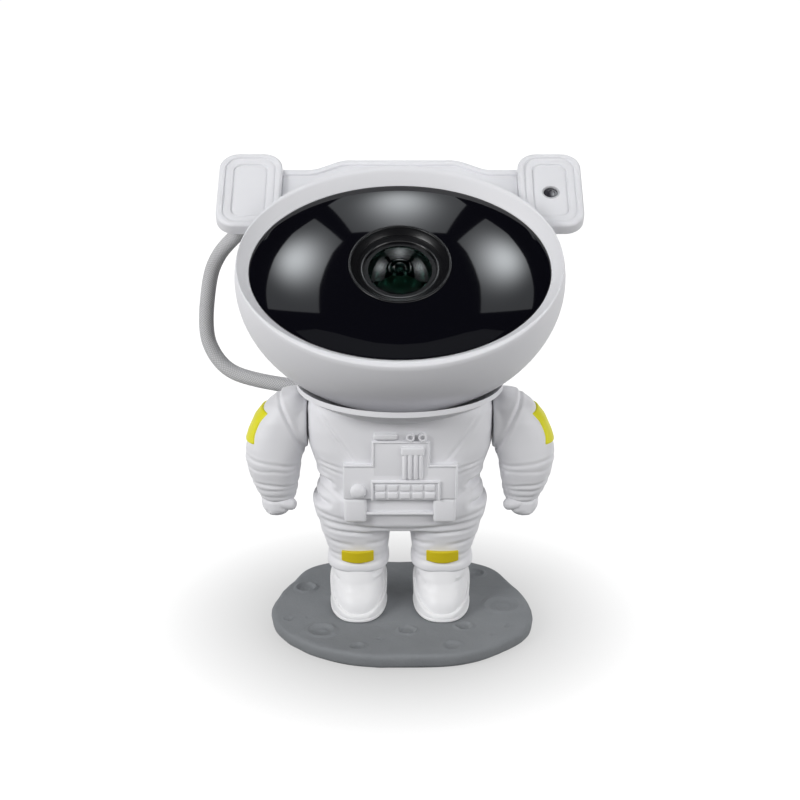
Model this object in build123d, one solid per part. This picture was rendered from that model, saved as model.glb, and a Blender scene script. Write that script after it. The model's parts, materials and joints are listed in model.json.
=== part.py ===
"""Star projector night light: a spaceman figure standing on a moon plate.

Millimetres, +Z up, the visor looks towards -Y and upwards.  The origin is on the
underside of the base pad, below the neck axis.  One STEP file is written for each piece.
"""
from build123d import *
import os
from math import atan2, cos, degrees, hypot, pi, radians, sin, sqrt, tan

# ---------------------------------------------------------------- clearances and walls
RUN_FIT = 0.06          # radial play of a shaft in its bore
GAP = 0.3               # air between pieces that move past each other
WALL = 2.0              # moulded shells

# ---------------------------------------------------------------- head
HEAD_LOW_Z = 93.5       # underside of the helmet, above the table
HEAD_HALF_WIDTH = 65.6  # along X
HEAD_RADIUS = 54.0      # round the X axis
HEAD_Z = HEAD_LOW_Z + HEAD_RADIUS   # height of the head's centre
HEAD_REST = 34.0        # turn about X from visor-straight-up to the rest pose, degrees
CREST_F = 10.0          # the front rim of the helmet, along the visor axis
LAND_X, LAND_U = 0.3, 2.7           # flat left on the rim outside the bevel
RIM_X, RIM_U = 5.8, 8.1             # from the helmet's outline in to the visor's edge
VISOR_X, VISOR_U = HEAD_HALF_WIDTH - RIM_X, HEAD_RADIUS - RIM_U     # visor's half sizes
VISOR_DROP = 4.75       # the visor's edge lies this far behind the crest
VISOR_EDGE_F = CREST_F - VISOR_DROP
VISOR_RISE = 8.2        # half height of the visor's ellipsoid
VISOR_WALL = 2.0
VISOR_SEAT = 1.5        # depth of the recess that the visor's edge sits in
VISOR_SKIRT = 4.25      # from the visor's edge back to the centre plane of its ellipsoid
VISOR_BASE_F = VISOR_EDGE_F - VISOR_SKIRT
LIP, LIP_T = 4.6, 2.95  # width and thickness of the shelf under the visor's edge
LIP_SEAT_F = VISOR_EDGE_F - VISOR_SEAT
LIP_BACK_F = LIP_SEAT_F - LIP_T
SEAM_OFFSET = 17.2      # distance of the helmet's seam from the head's centre
SEAM_TILT = 19.8        # slope of the seam against the rim, degrees
HELMET_SCREW_X = HEAD_HALF_WIDTH - 13.6     # screws stand this far in from the outline
HELMET_SCREW_T = HEAD_RADIUS - 33.0
HELMET_SCREW_SEAT = 3.0             # seam to the underside of the screw heads
HELMET_BOSS_L = 9.0                 # depth of the bosses that the helmet screws bite into
HELMET_VENT_X, HELMET_VENT_F, HELMET_VENT_R = 20.0, -8.0, 2.5

# ears and crown bar, in the frame of the visor (x, u, f)
EAR_X, EAR_U = HEAD_HALF_WIDTH - 3.3, HEAD_RADIUS - 6.6     # centre of an ear
EAR_F = CREST_F - 8.0               # front face of an ear
EAR_W, EAR_H, EAR_T = 26.4, 41.4, 6.0
EAR_CORNER = 8.0
EAR_STEP_1, EAR_STEP_2 = 2.6, 6.2   # border widths of the two steps in the front face
EAR_STEP_DEPTH = 0.5
EAR_SKIN = 1.4
IR_WINDOW_R = 3.7
IR_DROP = 1.2                       # window below the middle of the ear
IR_FLANGE, IR_FLANGE_T = 0.9, 0.6   # rim that holds the window behind its hole
IR_SINK = 0.4                       # window below the face of the ear
IR_HALF_W, IR_HALF_H = 3.0, 3.5     # receiver
BAR_LOW_U, BAR_HIGH_U = HEAD_RADIUS + 6.9, HEAD_RADIUS + 12.6   # top edge, sides and middle
BAR_SHOULDER_X, BAR_CREST_X = HEAD_HALF_WIDTH - 29.6, HEAD_HALF_WIDTH - 41.6
BAR_FRONT_F, BAR_BACK_F = EAR_F - 2.5, EAR_F - 13.0
BAR_LIP, BAR_LIP_STEP = 2.6, 1.2    # height and reach of the bar's top moulding

# ---------------------------------------------------------------- optics, along f
LENS_R = 13.2
BEZEL_R = LENS_R + 7.3
BEZEL_TOP_F = CREST_F - 1.0
BEZEL_STEP_R = LENS_R + 1.4
BEZEL_LEDGE = 0.6       # lens edge covered by the bezel
LENS_SEAT_F = BEZEL_TOP_F - 4.8
LENS_BACK_F = LENS_SEAT_F - 4.4
LENS_FLANGE_T = 0.7     # bezel above the top of the barrel
LENS_DOME_F, LENS_DOME_R = LENS_SEAT_F + 2.2, 34.0  # crown of the front lens and its radius
LENS_HOLLOW, LENS_HOLLOW_R = 1.5, 18.0      # hollow in its back, depth and radius
REAR_LENS_F, REAR_LENS_T, REAR_LENS_R = LENS_BACK_F - 3.2, 3.6, 20.0
BARREL_R = LENS_R + 2.8
BARREL_FLANGE_R, BARREL_FLANGE_T = BEZEL_R - 1.3, 1.6
BARREL_BORE_R = LENS_R - 2.2
CHASSIS_F = -12.5       # front face of the optical chassis
CHASSIS_T = 2.0
CHASSIS_BORDER = 4.8    # chassis beyond the teeth of the pattern wheel
POST_TURN = radians(34.8)           # direction of the posts that hang the chassis
POST_INSET = 0.4                    # post axis inside the edge of the visor's shelf
POST_X = (VISOR_X - LIP - POST_INSET) * cos(POST_TURN)
POST_U = (VISOR_U - LIP - POST_INSET) * sin(POST_TURN)
POST_R, POST_PAD_R, POST_ARM_W = 2.6, 3.4, 6.0
POST_ARM_FROM = 0.6                 # arms start at this share of the way to the posts
CHASSIS_BITE_L = 6.0                # screws' depth in the posts
GEAR_MODULE = 0.8
WHEEL_TEETH, PINION_TEETH, GRATING_TEETH = 52, 12, 24
TOOTH_TIP, TOOTH_ROOT = 0.8, 1.05   # tooth height over and under the pitch circle, in modules
TOOTH_TIP_SHARE, TOOTH_ROOT_SHARE = 0.11, 0.30      # half widths of a tooth, of its pitch
WHEEL_WINDOW, GRATING_WINDOW = (18.0, 5.0), (7.4, 3.4)      # outer and inner radius
GEAR_T = 1.6
GEAR_MID_F = -17.4
WHEEL_AT = (-10.0, -4.0)
PINION_BEARING_DEG = 60.0           # direction of the pinion from the pattern wheel
MESH_PLAY = 0.06                    # extra centre distance of each gear pair
FRAME_F = -20.0         # front face of the rear frame
FRAME_T = 1.5
WHEEL_POSTS = ((17.04, -24.6), (10.34, 102.7), (6.02, -100.5))  # beyond the teeth, direction
GRATING_POST = (3.91, -26.1)
FRAME_POST_R, STANDOFF_R = 2.4, 1.8
AXLE_R, AXLE_BOSS_R = 1.5, 3.0
HUB_T = 0.5             # hub under each wheel
WINDOW_SINK = 0.4       # depth of the picture area in a wheel's face
MOTOR_R, MOTOR_L, MOTOR_SHAFT_R = 6.0, 14.0, 1.0
LASER_R, LASER_L = 3.5, 13.0
LASER_REACH = 5.0       # beam from the grating wheel's centre
BOARD_AT, BOARD_SIZE = (-23.0, 2.0), (20.0, 40.0)
BOARD_T = 1.6
CHIPS = ((-4, 8, 7, 7, 1.6), (3, -8, 5, 9, 2.4), (-5, -10, 4, 4, 4.0))  # x, u, size, height
BOARD_GAP, LED_GAP = 5.0, 2.0       # rear frame to the driver board and to the LED board
LED_BOARD_T = 1.2
CONDENSER_R = 6.0
SINK_HALF, SINK_BASE_T, SINK_FIN_L, SINK_FIN_T, SINK_FINS = 11.0, 2.5, 8.5, 1.2, 6

# ---------------------------------------------------------------- neck
COLLAR_R = 41.8
COLLAR_LOW_Z, COLLAR_TOP_Z = HEAD_LOW_Z + 10.0, HEAD_LOW_Z + 14.3
COLLAR_RIM = 3.0
BEARING_L = 5.0         # length of the neck's bearing
DISH_GAP = 0.5          # dish to helmet
DISH_T = 2.2
SADDLE_R = 16.0
SADDLE_LOW_Z = HEAD_LOW_Z - 3.3
HUB_FLOOR_T = 2.5
PIVOT_R = 5.0
PIVOT_LOW_Z = SADDLE_LOW_Z - 7.4
CLIP_T, CLIP_DEPTH, CLIP_REACH = 1.0, 1.0, 2.2
MAGNET_R, MAGNET_T, MAGNET_FLOOR_T = 7.0, 2.1, 0.2
KEEPER_HALF_W, KEEPER_T = 8.0, 1.4
KEEPER_FROM_DEG, KEEPER_SWEEP_DEG = 218.0, 90.0

# ---------------------------------------------------------------- stand
BASE_TOP_Z = 7.0
PAD_T = 1.2
PAD_INSET = 3.0
BASE_OUTLINE = [
    (-37, 36), (-47, 18), (-52, 3), (-53.5, -12), (-43, -34), (-18, -49.5), (4, -51),
    (27, -48), (43, -37), (53, -24), (54.6, -4), (48, 17), (36, 37), (0, 40),
]
CRATERS = [             # x, y, radius, depth
    (-32, -29, 6.0, 1.1), (-17, -43, 3.2, 0.8), (-46, -18, 2.2, 0.6), (3, -30, 4.0, 0.9),
    (26, -26, 3.8, 0.8), (21, -42.4, 3.8, 0.8), (43, -5, 6.6, 1.2), (44.5, -25, 1.7, 0.5),
    (-40.5, 12, 4.4, 1.0), (33, 27, 4.0, 0.8), (-18, 31, 5.6, 1.1), (10, 28, 3.0, 0.7),
]
CRATER_RISE, CRATER_FLANK = 0.5, 1.0    # height of a crater's rim and width of its outer slope
CRATER_CREST = 0.3                      # flat on top of the rim
LEG_X = 17.4            # leg and boot centre
BOOT_W = 23.6
SOLE_T = 2.6
SOLE_PROUD = 0.5
BOOT_TOP_Z = 30.0
BOOT_TOE_Y, BOOT_HEEL_Y = -22.0, 13.0
SCREW_Y = 7.0           # boot screws stand this far before and behind the leg's centre
BODY_WALL = 2.0
CHEST_HALF_W, CHEST_HALF_D = 37.6, 22.8
TORSO = [               # z, half width, half depth
    (47.0, 32.5, 18.5), (54.0, 35.9, 21.0), (65.0, 33.6, 21.5),
    (78.0, CHEST_HALF_W - 0.4, CHEST_HALF_D), (92.0, CHEST_HALF_W, CHEST_HALF_D),
    (103.0, 34.0, 20.5),
]
TORSO_CORNER = 17.0
LEG = [                 # z, centre x, half width, half depth
    (BOOT_TOP_Z, LEG_X, 11.9, 13.4), (38.0, LEG_X + 0.3, 13.5, 15.0),
    (47.0, LEG_X + 0.6, 13.9, 16.5), (55.0, LEG_X + 0.8, 14.4, 18.0),
]
LEG_CORNER = 12.0
LEG_BOSS_L, LEG_BITE_L = 14.0, 10.0         # bosses in the legs and the screws' depth in them
SHOULDER_Z = 88.0
SHOULDER_X = CHEST_HALF_W + GAP     # outer face of the shoulder's bearing
HUB_SHAFT_R, HUB_FLANGE_R, HUB_FLANGE_T = 4.0, 6.5, 1.5
BEARING_T, BEARING_HALF = 4.0, 9.5      # thickness and half size of the arm bearings
HUB_DISC_R, HUB_DISC_T = 11.5, 7.0
ARM = [                 # z, centre's distance from the bearing, half width, half depth
    (100.5, 5.7, 3.8, 6.5), (95.0, 8.7, 7.6, 10.5), (86.0, 11.7, 10.8, 13.0),
    (74.0, 13.7, 11.8, 13.2), (63.0, 13.5, 9.8, 11.5), (55.5, 12.3, 7.4, 9.0),
]
ARM_CORNER = 11.8
GLOVE_LOW_Z = 46.5
THUMB_R, THUMB_L, THUMB_Y = 2.4, 6.4, -6.5
CHEST = [               # x0, x1, z0, z1, how proud of the chest each raised block is
    (-10.8, 0.2, 86.7, 89.4, 1.8), (-10.8, 11.5, 77.0, 86.7, 1.6),
    (-22.7, 23.1, 62.5, 77.0, 1.2), (-11.6, 15.9, 62.0, 70.0, 2.2),
    (-22.5, -13.4, 51.7, 62.5, 0.8), (13.4, 22.5, 51.7, 62.5, 0.8),
    (-22.5, 22.5, 54.2, 57.0, 0.2),
]
CHEST_BACK = 8.8        # the blocks reach this far into the chest
CHEST_TUBE = (5.2, 0.6, 77.5, 2.6, 13.0)    # x, proud, middle z, radius, length
CHEST_KNOBS = ((4.2, 88.4, 1.9, 1.7), (9.3, 88.4, 1.9, 1.7), (-16.7, 65.6, 3.3, 2.4))
KNEE_W, KNEE_LOW_Z, KNEE_HIGH_Z, KNEE_T = 13.4, 31.0, 37.2, 1.2
PATCH_Z0, PATCH_Z1, PATCH_HALF_Y, PATCH_T = 80.0, 96.0, 6.5, 1.3
PATCH_X = 15.1          # the shoulder patch starts this far outside the bearing

# ---------------------------------------------------------------- backpack
PACK_HALF_W, PACK_LOW_Z, PACK_HIGH_Z, PACK_BACK_Y = 22.0, 55.0, 100.5, 39.0
PACK_CORNER = 4.0
PACK_DEPTH = 29.0
PACK_BOARD_T = 1.6
PACK_BOARD_HALF_W = PACK_HALF_W - 6.0
PACK_BOARD_Z0, PACK_BOARD_Z1 = PACK_LOW_Z + 4.0, PACK_HIGH_Z - 8.5
PACK_POST_IN = 3.0      # posts stand this far in from the board's edges
PACK_CHIPS = ((-6, 6, 72, 82, 2.0), (6, 11, 62, 69, 2.6))   # x0, x1, z0, z1, height
SWITCH_HALF, SWITCH_KEY_R, SWITCH_KEY_L = 3.0, 1.6, 0.6
SWITCH_H = 3.5
BUTTON_TRAVEL = 0.8
BUTTON_PROUD = 1.6
BUTTON_LIP = 1.0        # reach and thickness of the flange that keeps a button in its hole
BUTTON_LIP_T = 0.8
BUTTON_SEAT_T = 0.8     # ring inside the wall that the flange rests against
BUTTON_STEM = 0.4
BUTTONS = {             # x, z, radius
    "power_button": (0.0, 86.0, 4.2), "star_button": (-9.0, 73.5, 3.2),
    "nebula_button": (9.0, 73.5, 3.2),
}
USB_Z, USB_W, USB_H = 63.0, 8.9, 3.2
USB_PLAY, USB_SKIN, USB_SINK = 0.2, 0.4, 0.6        # hole round it, its metal, set-back
USB_TONGUE_HALF_W, USB_TONGUE_HALF_T = 3.2, 0.35

# ---------------------------------------------------------------- hose
HOSE_D = 6.3
HOSE_UPPER = [
    (-63.3, 32.6, 161.5), (-70.0, 38.5, 154.3), (-76.5, 43.2, 146.5), (-81.09, 45.73, 136.1),
    (-82.3, 44.3, 124.0),
]
HOSE_LOWER = [
    (-26.0, 28.2, 92.4), (-36.0, 28.2, 92.4), (-47.5, 28.8, 93.0), (-61.5, 32.6, 94.3),
    (-72.5, 36.5, 96.6), (-79.5, 40.0, 103.0), (-83.4, 43.0, 113.0), (-82.3, 44.3, 124.0),
]
SOCKET_R, SOCKET_STEM_R, SOCKET_NUT_R, SOCKET_NUT_T = 4.4, 3.4, 4.0, 1.2
SOCKET_GRIP = 2.0       # hose inside its socket
FERRULE_L, FERRULE_GRIP = 5.0, 3.0
FERRULE_BACK_T, FERRULE_TIP_T = 1.9, 0.8    # wall at each end of the ferrule

# ---------------------------------------------------------------- screws
SCREW_R, SCREW_HEAD_R, SCREW_HEAD_T = 1.3, 2.3, 1.4
SCREW_CLEAR = 0.2       # radial air round a screw's shank
SCREW_SINK = 0.2        # screw head below the face it sits in
BOSS_R = 3.6
TORSO_SCREWS = ((-12.0, 60.0), (12.0, 60.0), (-12.0, 82.0), (12.0, 82.0))
TORSO_SEAT_Y = CHEST_HALF_D - CHEST_BACK    # underside of the torso screw heads
TORSO_SCREW_L = TORSO_SEAT_Y + 10.0


# ---------------------------------------------------------------- derived
def polar(centre, distance, bearing_deg):
    """The point at a distance and bearing from another."""
    turn = radians(bearing_deg)
    return centre[0] + distance * cos(turn), centre[1] + distance * sin(turn)


SEAM_N = Vector(0, sin(radians(SEAM_TILT)), -cos(radians(SEAM_TILT)))
PINION_GAP = GEAR_MODULE * (WHEEL_TEETH + PINION_TEETH) / 2 + MESH_PLAY
GRATING_GAP = GEAR_MODULE * (GRATING_TEETH + PINION_TEETH) / 2 + MESH_PLAY
PINION_AT = polar(WHEEL_AT, PINION_GAP, PINION_BEARING_DEG)
GRATING_AT = (PINION_AT[0] + GRATING_GAP, PINION_AT[1])
LASER_AT = (GRATING_AT[0] + LASER_REACH, GRATING_AT[1])
WHEEL_TIP_R = GEAR_MODULE * (WHEEL_TEETH / 2 + TOOTH_TIP)
GRATING_TIP_R = GEAR_MODULE * (GRATING_TEETH / 2 + TOOTH_TIP)
FRAME_POSTS = [polar(WHEEL_AT, WHEEL_TIP_R + beyond, turn) for beyond, turn in WHEEL_POSTS]
FRAME_POSTS.append(polar(GRATING_AT, GRATING_TIP_R + GRATING_POST[0], GRATING_POST[1]))
CHASSIS_R = hypot(*WHEEL_AT) + WHEEL_TIP_R + CHASSIS_BORDER
FRAME_R = CHASSIS_R - 1.5
BUTTON_LIP_Y = PACK_BACK_Y - WALL - BUTTON_SEAT_T - GAP     # rear face of a button's flange
BUTTON_TIP_Y = BUTTON_LIP_Y - BUTTON_LIP_T - BUTTON_STEM
SWITCH_TOP_Y = BUTTON_TIP_Y - BUTTON_TRAVEL - GAP / 3
PACK_BOARD_Y = SWITCH_TOP_Y - SWITCH_H - PACK_BOARD_T       # front face of the control board
FRAME_BACK_F = FRAME_F - FRAME_T
BIG = 300.0


# ---------------------------------------------------------------- helpers
def up_from(z, shape_2d, amount):
    """A flat outline at height z, thickened upwards by amount."""
    return extrude(Pos(0, 0, z) * shape_2d, amount)


def drum(radius, z0, z1, at=(0.0, 0.0)):
    """A plain cylinder along Z between two heights."""
    return Pos(at[0], at[1], z0) * extrude(Circle(radius), z1 - z0)


def ring(outer, inner, z0, z1, at=(0.0, 0.0)):
    return drum(outer, z0, z1, at) - drum(inner, z0, z1, at)


def slab(x0, x1, y0, y1, z0, z1):
    size = (abs(x1 - x0), abs(y1 - y0), abs(z1 - z0))
    return Pos((x0 + x1) / 2, (y0 + y1) / 2, (z0 + z1) / 2) * Box(*size)


def rod_x(radius, x0, x1, y, z):
    """A plain cylinder along X."""
    return Pos((x0 + x1) / 2, y, z) * Rot(0, 90, 0) * Cylinder(radius, abs(x1 - x0))


def rod_y(radius, y0, y1, x, z):
    """A plain cylinder along Y."""
    return Pos(x, (y0 + y1) / 2, z) * Rot(90, 0, 0) * Cylinder(radius, abs(y1 - y0))


def turned(profile):
    """A solid of revolution about Z from (radius, height) points."""
    face = make_face(Polyline(*[(r, 0, z) for r, z in profile], close=True))
    return revolve(face, Axis.Z)


def ellipsoid(a, b, c):
    return scale(Sphere(1.0), by=(a, b, c))


def spheroid(grow=0.0):
    """The helmet's shape, longer along X, grown or shrunk all over."""
    return ellipsoid(HEAD_HALF_WIDTH + grow, HEAD_RADIUS + grow, HEAD_RADIUS + grow)


def below_f(f):
    """Everything behind a plane square to the visor axis."""
    return Pos(0, 0, f - BIG / 2) * Box(BIG, BIG, BIG)


def seam_plane(offset=0.0):
    return Plane(origin=SEAM_N * (SEAM_OFFSET + offset), x_dir=(1, 0, 0), z_dir=SEAM_N)


def on_head(shape):
    """From the visor's frame (x, u, f) to the rest pose."""
    return Pos(0, 0, HEAD_Z) * Rot(HEAD_REST, 0, 0) * shape


def screw(length):
    """A cross-head screw, head upwards, its head's underside at the origin."""
    body = drum(SCREW_R, -length, 0) + drum(SCREW_HEAD_R, 0, SCREW_HEAD_T)
    body = fillet(body.edges().group_by(Axis.Z)[-1], 0.5)
    for turn in (0, 90):
        body -= Rot(0, 0, turn) * Pos(0, 0, SCREW_HEAD_T) * Box(2.6, 0.6, 1.4)
    return body


def rounded_section(z, cx, half_w, half_d, corner, cy=0.0):
    corner = min(corner, half_w - 0.4, half_d - 0.4)
    return Pos(cx, cy, z) * RectangleRounded(2 * half_w, 2 * half_d, corner)


def gear(teeth, thickness, tooth_deg):
    """A spur gear blank with straight-sided teeth, one of them centred on tooth_deg."""
    pitch_r = GEAR_MODULE * teeth / 2
    tip = (TOOTH_TIP_SHARE, pitch_r + TOOTH_TIP * GEAR_MODULE)
    root = (TOOTH_ROOT_SHARE, pitch_r - TOOTH_ROOT * GEAR_MODULE)
    step = 360.0 / teeth
    points = []
    for tooth in range(teeth):
        for sign, (share, radius) in ((-1, root), (-1, tip), (1, tip), (1, root)):
            points.append(polar((0, 0), radius, tooth_deg + (tooth + sign * share) * step))
    return extrude(make_face(Polyline(*points, close=True)), thickness)


def hose(points):
    """A tube along straight runs joined by tangent arcs, each as large as its runs allow."""
    route = [Vector(*p) for p in points]
    radii = []
    for before, corner, after in zip(route, route[1:], route[2:]):
        first, second = corner - before, after - corner
        half_turn = radians(first.get_angle(second)) / 2
        radii.append(0.45 * min(first.length, second.length) / tan(half_turn))
    path = FilletPolyline(*route, radius=radii)
    section = Plane(origin=route[0], z_dir=path % 0) * Circle(HOSE_D / 2)
    tube = sweep(section, path)
    print("hose radii", [round(r, 1) for r in radii], "length", round(path.length, 1),
          "volume / (section x length)",
          round(tube.volume / (pi * HOSE_D ** 2 / 4 * path.length), 4))
    return tube


# ---------------------------------------------------------------- head shells
def helmet_shells():
    """Front and rear shell in the visor's frame, joined at the tilted seam."""
    solid = spheroid() & below_f(CREST_F)
    solid -= spheroid(-WALL) & below_f(LIP_BACK_F)
    solid -= up_from(LIP_BACK_F - 1, Ellipse(VISOR_X - LIP, VISOR_U - LIP), BIG)
    solid -= up_from(LIP_SEAT_F, Ellipse(VISOR_X, VISOR_U), BIG)
    share = sqrt(1 - (CREST_F / HEAD_RADIUS) ** 2)
    solid -= loft([
        Pos(0, 0, VISOR_EDGE_F) * Ellipse(VISOR_X, VISOR_U),
        Pos(0, 0, CREST_F) * Ellipse(
            HEAD_HALF_WIDTH * share - LAND_X, HEAD_RADIUS * share - LAND_U),
    ])
    inside = spheroid(-WALL / 2)
    cut = seam_plane() * Box(BIG, BIG, BIG, align=(Align.CENTER, Align.CENTER, Align.MIN))
    front, rear = solid - cut, solid & cut
    for x in (-HELMET_SCREW_X, HELMET_SCREW_X):
        for t in (-HELMET_SCREW_T, HELMET_SCREW_T):
            place = seam_plane() * Pos(x, t, 0)
            front += (place * drum(BOSS_R + 0.6, -HELMET_BOSS_L, 0)) & inside
            rear += (place * drum(BOSS_R, 0, HELMET_SCREW_SEAT + WALL)) & inside
            front -= place * drum(SCREW_R, 1 - HELMET_BOSS_L, 0)
            rear -= place * drum(SCREW_R + GAP, 0, HELMET_SCREW_SEAT)
            rear -= place * drum(SCREW_HEAD_R + GAP, HELMET_SCREW_SEAT, BIG / 4)
    for x in (-POST_X, POST_X):
        for u in (-POST_U, POST_U):
            front += drum(POST_R, CHASSIS_F, LIP_BACK_F + 0.6, (x, u))
            front -= drum(SCREW_R, CHASSIS_F, CHASSIS_F + CHASSIS_BITE_L + 1, (x, u))
    for x in (-HELMET_VENT_X, HELMET_VENT_X):
        rear -= rod_y(HELMET_VENT_R, 0, BIG / 2, x, HELMET_VENT_F)
    return front, rear


def visor():
    outer = ellipsoid_of_visor(0.0)
    inner = ellipsoid_of_visor(-VISOR_WALL)
    body = outer & up_from(VISOR_BASE_F, Ellipse(VISOR_X, VISOR_U), BIG / 4)
    return body - inner - drum(BEZEL_R + RUN_FIT, VISOR_BASE_F - 9, BIG / 4)


def ellipsoid_of_visor(grow):
    """The dome whose edge lies on the visor's outline at VISOR_EDGE_F."""
    share = sqrt(1 - ((VISOR_EDGE_F - VISOR_BASE_F) / VISOR_RISE) ** 2)
    a, b, c = VISOR_X / share + grow, VISOR_U / share + grow, VISOR_RISE + grow
    return Pos(0, 0, VISOR_BASE_F) * ellipsoid(a, b, c)


def ear_block(inset, low, high):
    """A slice of the ear's outline, drawn in by an inset, at heights from its front face."""
    face = RectangleRounded(EAR_W - 2 * inset, EAR_H - 2 * inset, EAR_CORNER - 0.7 * inset)
    return Pos(EAR_X, EAR_U, EAR_F + low) * extrude(face, high - low)


def ear(with_window):
    """A stepped ear shell and its rear cap, on the +X side."""
    shell = ear_block(0, -EAR_T, 0)
    shell = fillet(shell.edges().group_by(Axis.Z)[-1], 1.2)
    shell -= ear_block(EAR_STEP_1, -EAR_STEP_DEPTH, 1)
    shell -= ear_block(EAR_STEP_2, -2 * EAR_STEP_DEPTH, 1)
    shell -= ear_block(EAR_SKIN, -EAR_T, -EAR_SKIN - 2 * EAR_STEP_DEPTH)
    cap = ear_block(EAR_SKIN, -EAR_T, -EAR_T + EAR_SKIN)
    if with_window:
        shell -= drum(IR_WINDOW_R, EAR_F - EAR_T, EAR_F + 1, (EAR_X, EAR_U - IR_DROP))
    helmet = spheroid()
    return shell - helmet, cap - helmet


def ir_parts():
    """Dark window and the receiver behind it, in the +X ear."""
    x, u = EAR_X, EAR_U - IR_DROP
    face_f = EAR_F - 2 * EAR_STEP_DEPTH
    back_f = face_f - EAR_SKIN
    window = drum(IR_WINDOW_R, back_f, face_f - IR_SINK, (x, u))
    window += drum(IR_WINDOW_R + IR_FLANGE, back_f - IR_FLANGE_T, back_f, (x, u))
    receiver = slab(x - IR_HALF_W, x + IR_HALF_W, u - IR_HALF_H, u + IR_HALF_H,
                    EAR_F + EAR_SKIN - EAR_T, back_f - IR_FLANGE_T - 0.1)
    return window, receiver


def crown_bar():
    """The bar over the helmet that carries both ears and hides their wires."""
    inner_x = EAR_X - EAR_W / 2

    def outline(drop, side):
        top = [(-inner_x + side, BAR_LOW_U - drop), (-BAR_SHOULDER_X, BAR_LOW_U - drop),
               (-BAR_CREST_X, BAR_HIGH_U - drop), (BAR_CREST_X, BAR_HIGH_U - drop),
               (BAR_SHOULDER_X, BAR_LOW_U - drop), (inner_x - side, BAR_LOW_U - drop)]
        low = EAR_U - EAR_H / 2
        return make_face(Polyline(*top, (inner_x - side, low), (-inner_x + side, low), close=True))

    bar = up_from(BAR_BACK_F, outline(0, 0), BAR_FRONT_F - BAR_BACK_F)
    bar -= up_from(BAR_FRONT_F - BAR_LIP_STEP, outline(BAR_LIP, -5), BIG / 4)
    bar -= up_from(BAR_BACK_F + WALL, outline(WALL, WALL),
                   BAR_FRONT_F - BAR_LIP_STEP - BAR_BACK_F - 2 * WALL)
    return bar - spheroid()


# ---------------------------------------------------------------- optics
def lens_group():
    """Bezel, barrel and the two projection lenses, on the visor axis."""
    throat_f = LENS_SEAT_F + 1.2
    ledge_f = LENS_SEAT_F + 0.5
    flange_top = LENS_SEAT_F - LENS_FLANGE_T
    bezel = turned([
        (BEZEL_R, flange_top), (BEZEL_R, BEZEL_TOP_F - 0.3), (BEZEL_R - 0.3, BEZEL_TOP_F),
        (BEZEL_R - 1.0, BEZEL_TOP_F), (BEZEL_R - 1.6, BEZEL_TOP_F - 0.7),
        (BEZEL_STEP_R + 0.7, throat_f), (BEZEL_STEP_R, throat_f), (BEZEL_STEP_R, ledge_f),
        (LENS_R - BEZEL_LEDGE, ledge_f), (LENS_R - BEZEL_LEDGE, LENS_SEAT_F),
        (LENS_R, LENS_SEAT_F), (LENS_R, flange_top),
    ])
    barrel = turned([
        (LENS_R, LENS_BACK_F), (LENS_R, flange_top), (BARREL_FLANGE_R, flange_top),
        (BARREL_FLANGE_R, flange_top - BARREL_FLANGE_T), (BARREL_R, flange_top - BARREL_FLANGE_T),
        (BARREL_R, CHASSIS_F), (BARREL_BORE_R, CHASSIS_F), (BARREL_BORE_R, LENS_BACK_F),
    ])
    front = drum(LENS_R - RUN_FIT, LENS_BACK_F, LENS_SEAT_F)
    front += drum(LENS_R - BEZEL_LEDGE - RUN_FIT, LENS_SEAT_F, BEZEL_TOP_F) & (
        Pos(0, 0, LENS_DOME_F - LENS_DOME_R) * Sphere(LENS_DOME_R))
    front -= Pos(0, 0, LENS_BACK_F + LENS_HOLLOW - LENS_HOLLOW_R) * Sphere(LENS_HOLLOW_R)
    rear = drum(BARREL_BORE_R - RUN_FIT, REAR_LENS_F - REAR_LENS_T, REAR_LENS_F) & (
        Pos(0, 0, REAR_LENS_F - REAR_LENS_R) * Sphere(REAR_LENS_R))
    return bezel, barrel, front, rear


def optical_chassis():
    """Plate behind the barrel, with the posts and axles of the wheels."""
    back = CHASSIS_F - CHASSIS_T
    plate = drum(CHASSIS_R, back, CHASSIS_F)
    for x in (-POST_X, POST_X):
        for u in (-POST_U, POST_U):
            plate += drum(POST_PAD_R, back, CHASSIS_F, (x, u))
            share = (1 + POST_ARM_FROM) / 2
            middle = Pos(share * x, share * u, back + CHASSIS_T / 2)
            plate += middle * Rot(0, 0, degrees(atan2(u, x))) * Box(
                (1 - POST_ARM_FROM) * hypot(x, u), POST_ARM_W, CHASSIS_T)
    for x, u in FRAME_POSTS:
        plate += drum(FRAME_POST_R, FRAME_F, back, (x, u))
    boss_end = GEAR_MID_F + GEAR_T / 2 + GAP
    for at in (WHEEL_AT, GRATING_AT):
        plate += drum(AXLE_BOSS_R, boss_end, back, at) + drum(AXLE_R, FRAME_F, back, at)
    for x in (-POST_X, POST_X):
        for u in (-POST_U, POST_U):
            plate -= drum(SCREW_R + SCREW_CLEAR, back, CHASSIS_F, (x, u))
    plate -= drum(BARREL_BORE_R - 1.0, back - 0.01, CHASSIS_F)
    return plate - drum(LASER_R - 1.3, back, CHASSIS_F, LASER_AT)


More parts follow.
